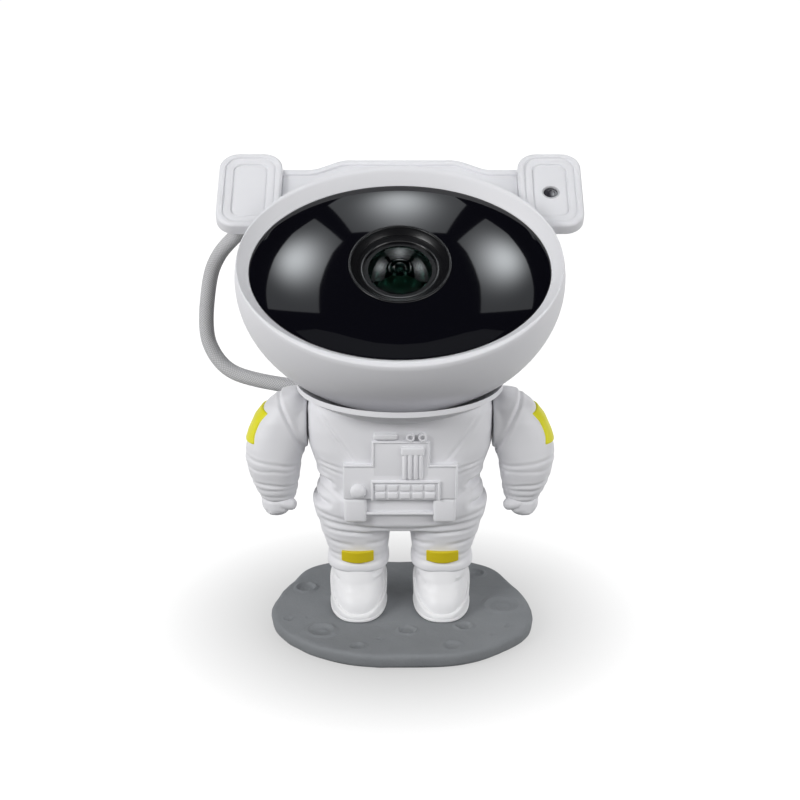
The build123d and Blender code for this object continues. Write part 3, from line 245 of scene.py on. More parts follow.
def stacked(loops: Sequence[Sequence[tuple]]) -> bmesh.types.BMesh:
    """A closed skin over loops of equally many points."""
    bm = bmesh.new()
    rings = [[bm.verts.new(point) for point in points] for points in loops]
    for lower, upper in zip(rings, rings[1:]):
        for i in range(len(lower)):
            bm.faces.new((lower[i - 1], lower[i], upper[i], upper[i - 1]))
    bm.faces.new(rings[0])
    bm.faces.new(rings[-1])
    bmesh.ops.recalc_face_normals(bm, faces=bm.faces)
    return bm


def arc(cx: float, cz: float, radius: float, start: float, end: float, steps: int) -> list:
    """Points of an arc in a profile, angles in degrees from the outward axis."""
    turn = [radians(start + (end - start) * i / steps) for i in range(steps + 1)]
    return [(cx + radius * cos(t), cz + radius * sin(t)) for t in turn]


def block(x0: float, x1: float, y0: float, y1: float, z0: float, z1: float,
          corner: float = 0.4, segments: int = 3) -> bmesh.types.BMesh:
    """A box with rounded edges between two corners."""
    bm = bmesh.new()
    bmesh.ops.create_cube(bm, size=1.0)
    bmesh.ops.scale(bm, vec=(x1 - x0, y1 - y0, z1 - z0), verts=bm.verts)
    bmesh.ops.translate(bm, vec=((x0 + x1) / 2, (y0 + y1) / 2, (z0 + z1) / 2), verts=bm.verts)
    bevel(bm, bm.edges, corner, segments)
    return bm


def bevel(bm: bmesh.types.BMesh, edges: Iterable, width: float, segments: int = 3) -> None:
    """Rounds edges to a width."""
    bmesh.ops.bevel(bm, geom=list(edges), offset=width, offset_type="OFFSET", affect="EDGES",
                    segments=segments, profile=0.5, material=-1, clamp_overlap=True)


def grid(columns: int, rows: int, half: float = 0.5) -> bmesh.types.BMesh:
    """A flat square sheet of faces round the origin."""
    bm = bmesh.new()
    bmesh.ops.create_grid(bm, x_segments=columns, y_segments=rows, size=half)
    return bm


def border_bevel(bm: bmesh.types.BMesh, angle: float, width: float) -> None:
    """Rounds the edges whose faces turn by more than an angle."""
    border = [e for e in bm.edges if len(e.link_faces) == 2 and e.calc_face_angle(0) > angle]
    bevel(bm, border, width, 4)


def thickened(bm: bmesh.types.BMesh, step: tuple) -> None:
    """Turns a sheet into a slab between itself and its copy a step away."""
    made = bmesh.ops.extrude_face_region(bm, geom=bm.faces[:])["geom"]
    moved = [g for g in made if isinstance(g, bmesh.types.BMVert)]
    bmesh.ops.translate(bm, vec=step, verts=moved)
    bmesh.ops.recalc_face_normals(bm, faces=bm.faces)


def rod(radius: float, length: float, rim: float = 0.3, segments: int = 40) -> bmesh.types.BMesh:
    """A cylinder along Z from 0 to its length with rounded rims."""
    outline = [(0.0, 0.0), (radius - rim, 0.0)] + arc(radius - rim, rim, rim, -90, 0, 3)[1:]
    outline += arc(radius - rim, length - rim, rim, 0, 90, 3) + [(0.0, length)]
    return turned(outline, segments)


def pin(size: tuple, place: Sequence[float], angle: float = 0.0, axis: str = "Y"
        ) -> bmesh.types.BMesh:
    """A rod at a place, turned about an axis.

    Args:
        size: the rod's radius, length, rim and segments.
        place: where its foot is.
        angle: how far it is turned there.
        axis: what it is turned about.

    Returns:
        A new mesh.
    """
    return placed(rod(*size), Matrix.Translation(place) @ Matrix.Rotation(angle, 4, axis))


def head_dome(drop: float) -> bmesh.types.BMesh:
    """The room that the head sweeps on its neck, lowered by a drop."""
    bm = bmesh.new()
    around, upright = DOME_SEGMENTS
    bmesh.ops.create_uvsphere(bm, u_segments=around, v_segments=upright, radius=1.0)
    bmesh.ops.scale(bm, vec=(HEAD_HALF_WIDTH, HEAD_HALF_WIDTH, HEAD_RADIUS), verts=bm.verts)
    return placed(bm, Matrix.Translation(HEAD_CENTRE - Vector((0, 0, drop))))


def placed(bm: bmesh.types.BMesh, matrix: Matrix) -> bmesh.types.BMesh:
    """The same mesh moved by a matrix, faces still outwards."""
    bmesh.ops.transform(bm, matrix=matrix, verts=bm.verts)
    if matrix.determinant() < 0:
        bmesh.ops.reverse_faces(bm, faces=bm.faces)
    return bm


def joined(parts: Iterable[bmesh.types.BMesh]) -> bmesh.types.BMesh:
    """One mesh that holds several, which are freed."""
    whole = bmesh.new()
    for part in parts:
        shuttle = stored("shuttle", part)
        whole.from_mesh(shuttle)
        bpy.data.meshes.remove(shuttle)
    return whole


def modified(bm: bmesh.types.BMesh, kind: str, **settings: object) -> bmesh.types.BMesh:
    """A mesh after one modifier.

    Args:
        bm: the mesh, which is freed.
        kind: the modifier's type.
        settings: its properties.

    Returns:
        The finished mesh.
    """
    mesh = stored("scratch", bm)
    scratch = linked("scratch", mesh)
    modifier = scratch.modifiers.new(kind.lower(), kind)
    for key, value in settings.items():
        setattr(modifier, key, value)
    result = applied(scratch)
    out = bmesh.new()
    out.from_mesh(result)
    bpy.data.meshes.remove(mesh)
    bpy.data.meshes.remove(result)
    return out


def fused(parts: Iterable[bmesh.types.BMesh], voxel: float, smoothing: int = 4
          ) -> bmesh.types.BMesh:
    """Overlapping parts grown together into one soft skin.

    Args:
        parts: closed meshes that overlap.
        voxel: size of the finest detail that is kept.
        smoothing: passes of smoothing after it.

    Returns:
        The skin of their union.
    """
    out = modified(joined(parts), "REMESH", mode="VOXEL", voxel_size=voxel)
    for _ in range(smoothing):
        bmesh.ops.smooth_vert(out, verts=out.verts, factor=0.5, use_axis_x=True,
                              use_axis_y=True, use_axis_z=True)
    return out


def carved(bm: bmesh.types.BMesh, cutter: bmesh.types.BMesh) -> bmesh.types.BMesh:
    """A mesh less another one, both of which are freed."""
    knife_mesh = stored("knife", cutter)
    knife = linked("knife", knife_mesh)
    out = modified(bm, "BOOLEAN", operation="DIFFERENCE", solver="EXACT", object=knife)
    bpy.data.objects.remove(knife)
    bpy.data.meshes.remove(knife_mesh)
    return out


def sliced(bm: bmesh.types.BMesh, point: Vector, normal: Vector) -> None:
    """Cuts away what is in front of a plane and fills the cut."""
    made = bmesh.ops.bisect_plane(bm, geom=bm.verts[:] + bm.edges[:] + bm.faces[:],
                                  plane_co=point, plane_no=normal, clear_outer=True)
    rims = [e for e in made["geom_cut"] if isinstance(e, bmesh.types.BMEdge)]
    bmesh.ops.holes_fill(bm, edges=rims, sides=0)


def split(bm: bmesh.types.BMesh, point: Vector, normal: Vector, gap: float) -> list:
    """Two closed halves of a closed mesh.

    Args:
        bm: the mesh, which is freed.
        point: a point of the seam.
        normal: the seam plane's normal.
        gap: air left between the halves.

    Returns:
        The half behind the plane and the half in front of it.
    """
    halves = []
    for sign in (-1, 1):
        half = bm.copy()
        sliced(half, point + normal * (sign * gap / 2), normal * -sign)
        bmesh.ops.recalc_face_normals(half, faces=half.faces)
        halves.append(half)
    bm.free()
    return halves


# ------------------------------------------------------------------ folds
FOLD_REACH = 5.0
SWELL_SHARE = 0.3
SWELL_AT = 2.2
SWELL_SCALE = 0.11
WAVER_SCALE = 0.12
STRENGTH_SCALE = 0.09
BACK_FROM = 0.25
END_SHARE = 0.05


@dataclass(frozen=True)
class LineFold:
    """A crease along a line that is drawn on the front, (x, z) points.

    Args:
        start: one end.
        end: the other end.
        depth: depth of the crease, negative for a raised seam.
        width: its half width.
        back: also on the rear face.
    """

    start: tuple
    end: tuple
    depth: float
    width: float
    back: bool = False

    def offset(self, co: Vector, normal: Vector) -> float:
        """How far a point of the surface moves along its normal."""
        if normal.y > BACK_FROM and not self.back:
            return 0.0
        ax, az = self.start
        bx, bz = self.end
        run_x, run_z = bx - ax, bz - az
        along = ((co.x - ax) * run_x + (co.z - az) * run_z) / (run_x ** 2 + run_z ** 2)
        along = min(1.0, max(0.0, along))
        away = hypot(co.x - ax - along * run_x, co.z - az - along * run_z)
        taper = sin(pi * (along * (1 - 2 * END_SHARE) + END_SHARE)) ** 0.5
        return fold_profile(away, self.depth * taper, self.width)


@dataclass(frozen=True)
class RingFold:
    """A crease all round a limb, where a tilted plane cuts it.

    Args:
        point: a point of the plane.
        normal: its normal.
        depth: depth of the crease, negative for a raised ring.
        width: its half width.
        waver: how much the crease wanders along the limb.
    """

    point: tuple
    normal: tuple
    depth: float
    width: float
    waver: float = 0.4

    def offset(self, co: Vector, normal: Vector) -> float:
        """How far a point of the surface moves along its normal."""
        drift = self.waver * noise.noise(co * WAVER_SCALE + Vector(self.point))
        away = (co - Vector(self.point)).dot(Vector(self.normal).normalized()) + drift
        strength = 0.75 + 0.25 * noise.noise(co * STRENGTH_SCALE - Vector(self.point))
        return fold_profile(away, self.depth * strength, self.width)


def fold_profile(away: float, depth: float, width: float) -> float:
    """Cross-section of a crease: a groove with a soft swelling each side of it."""
    near = abs(away) / width
    if near > FOLD_REACH:
        return 0.0
    return -depth * exp(-near * near) + SWELL_SHARE * depth * exp(-(near - SWELL_AT) ** 2)


def folded(bm: bmesh.types.BMesh, folds: Sequence, swell: float = 0.0) -> bmesh.types.BMesh:
    """The same mesh with creases pressed into it.

    Args:
        bm: the mesh.
        folds: the creases.
        swell: height of the gentle unevenness of the whole surface.

    Returns:
        The mesh.
    """
    bm.normal_update()
    moves = []
    for vert in bm.verts:
        amount = sum(fold.offset(vert.co, vert.normal) for fold in folds)
        if swell:
            amount += swell * noise.noise(vert.co * SWELL_SCALE)
        moves.append(vert.normal * amount)
    for vert, move in zip(bm.verts, moves):
        vert.co += move
    return bm


# ------------------------------------------------------------------ pieces
def piece(name: str, bm: bmesh.types.BMesh, body: str, finish: "Finish",
          replaces: Sequence[str] = (), placement: Matrix = Matrix.Identity(4),
          sharp: float = SHARP) -> bpy.types.Object:
    """A finished object in the row frame.

    Args:
        name: its name.
        bm: its mesh in millimetres, which is freed.
        body: the frame's body that it moves with.
        finish: what it is made of.
        replaces: the frame's nodes that it stands for.
        placement: where it goes, in millimetres.
        sharp: edges that turn more than this stay crisp.

    Returns:
        The object.
    """
    placed(bm, TO_METRES @ placement)
    bm.normal_update()
    for face in bm.faces:
        face.smooth = True
    mesh = stored(name, bm)
    mesh.set_sharp_from_angle(angle=sharp)
    obj = linked(name, mesh)
    mesh.materials.append(finish.material())
    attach(obj, body)
    if replaces:
        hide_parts(*replaces)
    log.info("%s: %d faces, on %s", name, len(mesh.polygons), body)
    return obj


# ------------------------------------------------------------------ shader effects
def node(tree: bpy.types.NodeTree, kind: str, inputs: dict, **settings: object
         ) -> bpy.types.Node:
    """A new shader node.

    Args:
        tree: where it goes.
        kind: its type without the first part of the name.
        inputs: input name or number to the socket that feeds it or to its value.
        settings: its other properties.

    Returns:
        The node.
    """
    made = tree.nodes.new("ShaderNode" + kind)
    for key, value in settings.items():
        setattr(made, key, value)
    for label, value in inputs.items():
        if isinstance(value, bpy.types.NodeSocket):
            tree.links.new(value, made.inputs[label])
        else:
            made.inputs[label].default_value = value
    return made


def preset(shader: bpy.types.Node, values: dict) -> None:
    """Sets inputs of a shader that nothing feeds."""
    for label, value in values.items():
        shader.inputs[label].default_value = value


def shaded(name: str) -> tuple:
    """A new material with its node tree and its shader."""
    mat = bpy.data.materials.new(name)
    mat.use_nodes = True
    return mat, mat.node_tree, mat.node_tree.nodes["Principled BSDF"]


def math_node(tree: bpy.types.NodeTree, operation: str, *values: object) -> bpy.types.NodeSocket:
    """The result of a Math node whose inputs are sockets or numbers."""
    return node(tree, "Math", dict(enumerate(values)), operation=operation).outputs[0]


def noise_field(tree: bpy.types.NodeTree, scale: object, detail: float) -> bpy.types.NodeSocket:
    """A noise in Object coordinates, where the scale is a socket or a number."""
    where = node(tree, "TexCoord", {}).outputs["Object"]
    inputs = {"Vector": where, "Detail": detail, "Scale": scale}
    return node(tree, "TexNoise", inputs).outputs["Fac"]


def grain_effect() -> bpy.types.NodeTree:
    """Fine moulding texture: a height, and a mask that mottles colour and gloss."""
    tree = bpy.data.node_groups.new("moulding grain", "ShaderNodeTree")
    for label, in_out in (("Grain Scale", "INPUT"), ("Mottle Scale", "INPUT"),
                          ("Height", "OUTPUT"), ("Mottle", "OUTPUT")):
        tree.interface.new_socket(name=label, in_out=in_out, socket_type="NodeSocketFloat")
    tree.interface.items_tree["Grain Scale"].default_value = GRAIN_SCALE
    tree.interface.items_tree["Mottle Scale"].default_value = MOTTLE_SCALE
    inside, outside = (tree.nodes.new("NodeGroup" + way) for way in ("Input", "Output"))
    tree.links.new(noise_field(tree, inside.outputs["Grain Scale"], 3.0),
                   outside.inputs["Height"])
    broad = noise_field(tree, inside.outputs["Mottle Scale"], 4.0)
    centred = math_node(tree, "SUBTRACT", broad, 0.5)
    tree.links.new(math_node(tree, "MULTIPLY", centred, 2.0), outside.inputs["Mottle"])
    return tree


GRAIN_SCALE = 4000.0
MOTTLE_SCALE = 60.0
GRAIN = grain_effect()


def blended(tree: bpy.types.NodeTree, first: object, second: object,
            factor: bpy.types.NodeSocket) -> bpy.types.NodeSocket:
    """A mix of two colours that are sockets or values."""
    inputs = {"A": first, "B": second, "Factor": factor}
    return node(tree, "Mix", inputs, data_type="RGBA").outputs["Result"]


@dataclass(frozen=True)
class Finish:
    """One finish of the object.

    Args:
        slot: the record's material slot.
        colour: linear red, green and blue.
        roughness: of the bare surface.
        metallic: 1 for bare metal.
        grain: height of the moulding grain in metres.
        grain_scale: its fineness.
        mottle: how much the colour wanders, as a share.
        gloss_mottle: how much the roughness wanders.
        name: the material's name if it isn't the slot's.
    """

    slot: str
    colour: tuple
    roughness: float = 0.5
    metallic: float = 0.0
    grain: float = 0.00001
    grain_scale: float = GRAIN_SCALE
    mottle: float = 0.02
    gloss_mottle: float = 0.03
    name: str = ""

    def material(self) -> bpy.types.Material:
        """The material, made once."""
        label = self.name or self.slot
        found = bpy.data.materials.get("finish " + label)
        if found:
            return found
        mat, tree, shader = shaded("finish " + label)
        preset(shader, {"Metallic": self.metallic})
        self.dress(tree, shader)
        return mat

    def dress(self, tree: bpy.types.NodeTree, shader: bpy.types.Node) -> None:
        """Adds colour, gloss and relief to the shader."""
        grain = self.grain_node(tree)
        tree.links.new(self.mottled(tree, grain), shader.inputs["Base Color"])
        rough = math_node(tree, "MULTIPLY", grain.outputs["Mottle"], self.gloss_mottle)
        rough = math_node(tree, "ADD", rough, self.roughness)
        tree.links.new(rough, shader.inputs["Roughness"])
        if self.grain:
            self.relief(tree, shader, grain.outputs["Height"], self.grain)

    def grain_node(self, tree: bpy.types.NodeTree) -> bpy.types.Node:
        """The moulding grain at this finish's own fineness."""
        grain = tree.nodes.new("ShaderNodeGroup")
        grain.node_tree = GRAIN
        grain.inputs["Grain Scale"].default_value = self.grain_scale
        return grain

    def mottled(self, tree: bpy.types.NodeTree, grain: bpy.types.Node) -> bpy.types.NodeSocket:
        """The colour, which the grain's mask from -1 to 1 makes lighter or darker."""
        dark = [max(0.0, c * (1 - self.mottle)) for c in self.colour]
        light = [min(1.0, c * (1 + self.mottle)) for c in self.colour]
        return blended(tree, (*dark, 1.0), (*light, 1.0),
                       math_node(tree, "MULTIPLY_ADD", grain.outputs["Mottle"], 0.5, 0.5))

    @staticmethod
    def relief(tree: bpy.types.NodeTree, shader: bpy.types.Node, height: bpy.types.NodeSocket,
               distance: float) -> None:
        """Feeds a height to the shader's normal."""
        bump = node(tree, "Bump", {"Distance": distance, "Height": height})
        tree.links.new(bump.outputs["Normal"], shader.inputs["Normal"])


STRANDS = 16


@dataclass(frozen=True)
class BraidFinish(Finish):
    """Braided sleeve: strands cross both ways round the hose, read from its UV map."""

    strands: int = STRANDS
    gap_from: float = 0.82
    # painted shade: share of the braid's colour left in the gaps between strands
    gap_painted_shade: float = 0.55
    sheen: float = 0.25

    def dress(self, tree: bpy.types.NodeTree, shader: bpy.types.Node) -> None:
        """Adds painted shade in the gaps between the strands, and a dull sheen."""
        where = node(tree, "TexCoord", {})
        parts = node(tree, "SeparateXYZ", {"Vector": where.outputs["UV"]})
        gaps = []
        for sign in (1, -1):
            phase = math_node(tree, "MULTIPLY_ADD", parts.outputs["Y"], float(sign),
                              parts.outputs["X"])
            wave = math_node(tree, "COSINE", math_node(tree, "MULTIPLY", phase,
                                                       2 * pi * self.strands))
            gaps.append(math_node(tree, "GREATER_THAN", wave, self.gap_from))
        grain = self.grain_node(tree)
        # painted shade: the colour in the gaps between strands is darkened
        gap_painted_shade_colour = (*[c * self.gap_painted_shade for c in self.colour], 1.0)
        woven = blended(tree, self.mottled(tree, grain), gap_painted_shade_colour,
                        math_node(tree, "MAXIMUM", *gaps))
        tree.links.new(woven, shader.inputs["Base Color"])
        preset(shader, {"Roughness": self.roughness, "Sheen Weight": self.sheen})
        self.relief(tree, shader, grain.outputs["Height"], self.grain)


@dataclass(frozen=True)
class RockFinish(Finish):
    """Dull moon rock: speckled, with fine pits."""

    pit_scale: float = 420.0
    fine_share: float = 0.35

    def dress(self, tree: bpy.types.NodeTree, shader: bpy.types.Node) -> None:
        """Adds speckle and a two-scale relief."""
        grain = self.grain_node(tree)
        tree.links.new(self.mottled(tree, grain), shader.inputs["Base Color"])
        preset(shader, {"Roughness": self.roughness})
        coarse = noise_field(tree, self.pit_scale, 5.0)
        fine = math_node(tree, "MULTIPLY", grain.outputs["Height"], self.fine_share)
        self.relief(tree, shader, math_node(tree, "ADD", coarse, fine), self.grain)


@dataclass(frozen=True)
class PlainFinish(Finish):
    """Polished black plastic or glass, the same all over."""

    ior: float = 1.5
    clear: float = 0.0

    def dress(self, tree: bpy.types.NodeTree, shader: bpy.types.Node) -> None:
        """Sets a plain gloss, and for glass its clearness."""
        preset(shader, {"Base Color": (*self.colour, 1.0), "Roughness": self.roughness,
                        "IOR": self.ior, "Transmission Weight": self.clear})


SHELL = Finish("shell_white", (0.76, 0.76, 0.785), 0.5)
BOOT = Finish("boot_white", (0.82, 0.82, 0.835), 0.45)
SOLE = Finish("sole_white", (0.84, 0.84, 0.85), 0.5)
YELLOW = Finish("patch_yellow", (0.74, 0.70, 0.012), 0.5)
ROCK = RockFinish("moon_grey", (0.215, 0.226, 0.238), 0.74, grain=0.0002, grain_scale=2600.0,
                  mottle=0.12)
PAD = Finish("pad_black", (0.03, 0.03, 0.03), 0.9, grain=0.00004)
VISOR_BLACK = PlainFinish("visor_black", (0.003, 0.003, 0.005), 0.035)
BEZEL_BLACK = PlainFinish("bezel_black", (0.006, 0.006, 0.007), 0.24)
GLASS = PlainFinish("lens_glass", (0.93, 0.97, 0.95), 0.0, clear=1.0)
BRAID = BraidFinish("braid_grey", (0.60, 0.60, 0.615), 0.72, grain=0.00005, mottle=0.06)
FERRULE = Finish("ferrule_grey", (0.5, 0.5, 0.515), 0.5)
KEY = Finish("key_grey", (0.62, 0.62, 0.64), 0.4)
STEEL = Finish("steel", (0.62, 0.62, 0.63), 0.28, metallic=1.0, gloss_mottle=0.08)
BOARD = Finish("board_green", (0.012, 0.11, 0.05), 0.35, grain_scale=900.0, mottle=0.1)
SWITCH = Finish("switch_black", (0.02, 0.02, 0.02), 0.5)
CHASSIS = Finish("chassis_black", (0.02, 0.02, 0.022), 0.6)
ACETAL = Finish("acetal_white", (0.8, 0.8, 0.77), 0.38)
SINK = Finish("sink_aluminium", (0.5, 0.51, 0.53), 0.35, metallic=1.0)
MOTOR = Finish("motor_steel", (0.55, 0.55, 0.56), 0.3, metallic=1.0)
LASER = Finish("laser_brass", (0.72, 0.52, 0.22), 0.3, metallic=1.0)
IR_DARK = PlainFinish("ir_dark", (0.02, 0.018, 0.025), 0.12)
EVERY_FINISH = (SHELL, BOOT, SOLE, YELLOW, ROCK, PAD, VISOR_BLACK, BEZEL_BLACK, GLASS, BRAID,
                FERRULE, KEY, STEEL, BOARD, SWITCH, CHASSIS, ACETAL, SINK, MOTOR, LASER, IR_DARK)
COATED_GLASS = PlainFinish("lens_glass", (0.12, 0.26, 0.21), 0.0, ior=1.27, clear=1.0,
                           name="coated lens")
# painted shade in part: the knees' patches are the same material as the shoulders', given a darker, more amber
# yellow
KNEE_YELLOW_PAINTED_SHADE = Finish("patch_yellow", (0.60, 0.48, 0.0), 0.55, name="knee patch painted shade")
IR_RIM = Finish("shell_white", (0.52, 0.52, 0.54), 0.35, name="window rim")


# ------------------------------------------------------------------ head
def head_piece(name: str, bm: bmesh.types.BMesh, finish: Finish, *nodes: str) -> None:
    """A piece of the head, drawn in the frame of the visor."""
    piece(name, bm, "head", finish, nodes, HEAD_FRAME)


def ellipse_share(height: float, radius: float) -> float:
    """Share of the full section that an ellipsoid has at a height."""
    return sqrt(max(0.0, 1.0 - (height / radius) ** 2))


@dataclass
class Helmet:
    """The two shells of the head, in the frame of the visor."""

    half_width: float = HEAD_HALF_WIDTH
    radius: float = HEAD_RADIUS
    wall: float = 2.0
    crest_f: float = 10.0
    land_x: float = 0.3
    land_u: float = 2.7
    visor_x: float = VISOR_HALF_X
    visor_u: float = VISOR_HALF_U
    edge_f: float = VISOR_EDGE_F
    rim_end: float = -89.2
    inner_end: float = -89.0
    seat_f: float = 3.75
    lip: float = 4.6
    lip_back_f: float = 0.8
    seam_offset: float = 17.2
    seam_tilt: float = radians(19.8)
    seam_gap: float = 0.25
    belt_rings: int = 44
    segments: int = 144
    screws: tuple = (52.0, 21.0)
    well_r: float = 2.6

    def profile(self) -> list:
        """Sections of the closed shell, from the shelf under the visor over the rim to the back."""
        rim = ellipse_share(self.crest_f, self.radius)
        outer_a, outer_b = self.half_width * rim, self.radius * rim
        shelf = ((-self.lip, self.seat_f), (-0.3, self.seat_f), (0.0, self.seat_f + 0.2),
                 (0.0, self.edge_f - 0.15), (0.25, self.edge_f + 0.15))
        rings = [Ring(self.visor_x + out, self.visor_u + out, f) for out, f in shelf]
        for share, drop in ((-0.42, 1.1), (-0.15, 0.4), (0.0, 0.18), (0.2, 0.05), (0.5, 0.0),
                            (0.75, 0.02), (0.92, 0.12)):
            rings.append(Ring(outer_a - self.land_x * (1 - share) - 0.5 * max(0.0, -share),
                              outer_b - self.land_u * (1 - share), self.crest_f - drop))
        start = degrees(atan2(self.crest_f - 0.4, self.radius * rim))
        for i in range(self.belt_rings + 1):
            turn = radians(start + (self.rim_end - start) * i / self.belt_rings)
            rings.append(Ring(self.half_width * cos(turn), self.radius * cos(turn),
                              self.radius * sin(turn)))
        return rings

    def inner_profile(self) -> list:
        """Sections of the inside of the wall, from the back to the underside of the shelf."""
        a, r = self.half_width - self.wall, self.radius - self.wall
        low = degrees(atan2(self.lip_back_f, r))
        rings, steps = [], self.belt_rings // 2
        for i in range(steps + 1):
            turn = radians(self.inner_end + (low - self.inner_end) * i / steps)
            rings.append(Ring(a * cos(turn), r * cos(turn), r * sin(turn)))
        rings.append(Ring(self.visor_x - self.lip, self.visor_u - self.lip, self.lip_back_f))
        return rings

    def solid(self) -> bmesh.types.BMesh:
        """Closed wall of the whole helmet."""
        outside = skin(self.profile(), self.segments, caps="last")
        inside = skin(self.inner_profile(), self.segments, caps="first")
        whole = joined([outside, inside])
        open_edges = [e for e in whole.edges if e.is_boundary]
        bmesh.ops.bridge_loops(whole, edges=open_edges)
        bmesh.ops.recalc_face_normals(whole, faces=whole.faces)
        return whole

    def build(self) -> None:
        """Front shell with the rim and rear shell, split at the tilted seam."""
        normal = Vector((0.0, sin(self.seam_tilt), -cos(self.seam_tilt)))
        front, rear = split(self.solid(), normal * self.seam_offset, normal, self.seam_gap)
        head_piece("helmet_front", front, SHELL, "helmet_front_shell")
        rear = carved(rear, self.screw_holes(normal))
        head_piece("helmet_rear", rear, SHELL, "helmet_rear_shell")

    def screw_holes(self, normal: Vector) -> bmesh.types.BMesh:
        """Round wells over the four screws of the rear shell."""
        wells = []
        across, up = self.screws
        along = normal.cross(Vector((1, 0, 0)))
        turn = Vector((0, 0, 1)).rotation_difference(normal).to_matrix().to_4x4()
        for x in (-across, across):
            for t in (-up, up):
                at = normal * (self.seam_offset + 3.0) + Vector((x, 0, 0)) - along * t
                wells.append(placed(rod(self.well_r, 60.0, CRISP, 28),
                                    Matrix.Translation(at) @ turn))
        return joined(wells)


@dataclass
class Visor:
    """Dark dome with a round hole for the bezel."""

    half_x: float = VISOR_HALF_X
    half_u: float = VISOR_HALF_U
    edge_f: float = VISOR_EDGE_F
    base_f: float = 1.0
    rise: float = 8.2
    hole: float = 20.56
    wall: float = 1.8
    rings: int = 30
    clearance: float = 0.12

    def height(self, x: float, u: float) -> float:
        """Height of the dome over a point."""
        share = ellipse_share(self.edge_f - self.base_f, self.rise)
        inside = 1 - (x * share / self.half_x) ** 2 - (u * share / self.half_u) ** 2
        return self.base_f + self.rise * sqrt(max(0.0, inside))

    def build(self) -> None:
        """Dome with a rounded outer edge and a wall."""
        edge_x, edge_u = self.half_x - self.clearance, self.half_u - self.clearance
        rings = []
        for i in range(self.rings + 1):
            share = i / self.rings
            rings.append(Ring(self.hole + (edge_x - 0.5 - self.hole) * share,
                              self.hole + (edge_u - 0.5 - self.hole) * share, 0.0))
        dome = skin(rings, 192, caps="none")
        for vert in dome.verts:
            vert.co.z = self.height(vert.co.x, vert.co.y)
        rim = [e for e in dome.edges if e.is_boundary and hypot(*e.verts[0].co.xy) > self.hole + 1]
        for spread, drop in ((0.3, 0.12), (0.2, 0.35), (0.0, 0.9)):
            made = bmesh.ops.extrude_edge_only(dome, edges=rim)["geom"]
            verts = [g for g in made if isinstance(g, bmesh.types.BMVert)]
            for vert in verts:
                vert.co.x *= 1 + spread / edge_x
                vert.co.y *= 1 + spread / edge_u
                vert.co.z -= drop
            chosen = set(verts)
            rim = [e for e in dome.edges if e.verts[0] in chosen and e.verts[1] in chosen]
        bmesh.ops.recalc_face_normals(dome, faces=dome.faces)
        if sum(f.normal.z for f in dome.faces) < 0:
            bmesh.ops.reverse_faces(dome, faces=dome.faces)
        bmesh.ops.solidify(dome, geom=dome.faces[:], thickness=self.wall)
        head_piece("visor_dome", dome, VISOR_BLACK, "visor")


@dataclass
class LensGroup:
    """Bezel and front lens."""

    bezel_r: float = 20.5
    bezel_top: float = 9.0
    step_r: float = 14.6
    lens_r: float = 13.2
    seat_f: float = 4.2
    lens_ball: float = 58.0
    lens_top: float = 6.4
    lens_back: float = -0.2
    rings: tuple = (2.6, 4.6)
    ring_depth: float = 0.05
    ring_width: float = 0.22
    dome_steps: int = 64
    back_ball: float = 18.0
    back_r: float = 7.6
    back_centre: float = 16.5
    back_steps: int = 12
    segments: int = 128

    def bezel(self) -> bmesh.types.BMesh:
        """Ring with a polished rim, a stepped funnel and a shelf for the lens."""
        outline = [(self.bezel_r, self.seat_f - 0.7)]
        outline += arc(self.bezel_r - 0.35, self.bezel_top - 0.35, 0.35, 0, 90, 4)
        outline += arc(self.bezel_r - 0.9, self.bezel_top - 0.3, 0.3, 90, 180, 4)
        for r, f, points in (
                (self.bezel_r, self.bezel_top, ((-1.2, -0.8), (-1.7, -1.0))),
                (self.bezel_r, self.seat_f, ((-3.6, 2.6), (-3.7, 2.2))),
                (self.step_r, self.seat_f, ((0.9, 1.5), (0.25, 1.45), (0.0, 1.2), (0.0, 0.5))),
                (self.lens_r, self.seat_f, ((-0.6, 0.5), (-0.6, 0.0), (0.0, 0.0), (0.0, -0.7)))):
            outline += [(r + out, f + up) for out, up in points]
        return turned(outline, self.segments)

    def front_lens(self) -> bmesh.types.BMesh:
        """Meniscus: a domed front, a flange under the shelf and a hollow back."""
        front_r = self.lens_r - 0.65
        top = []
        for i in range(self.dome_steps + 1):
            r = front_r * (1 - i / self.dome_steps)
            step = sum(self.ring_depth * exp(-((r - ring) / self.ring_width) ** 2)
                       for ring in self.rings)
            top.append((r, self.lens_top - self.lens_ball + sqrt(self.lens_ball ** 2 - r * r)
                        - step))
        back_z = self.lens_back - self.back_centre
        hollow = []
        for i in range(self.back_steps + 1):
            r = self.back_r * i / self.back_steps
            hollow.append((r, back_z + sqrt(self.back_ball ** 2 - r * r)))
        outline = hollow + [(self.lens_r - 0.05, self.lens_back),
                            (self.lens_r - 0.05, self.seat_f - 0.02),
                            (front_r, self.seat_f - 0.02)] + top
        return turned(outline, self.segments)

    def build(self) -> None:
        """All of the lens group that shows from outside."""
        head_piece("bezel_ring", self.bezel(), BEZEL_BLACK, "lens_bezel")
        head_piece("domed_lens", self.front_lens(), COATED_GLASS, "front_lens")


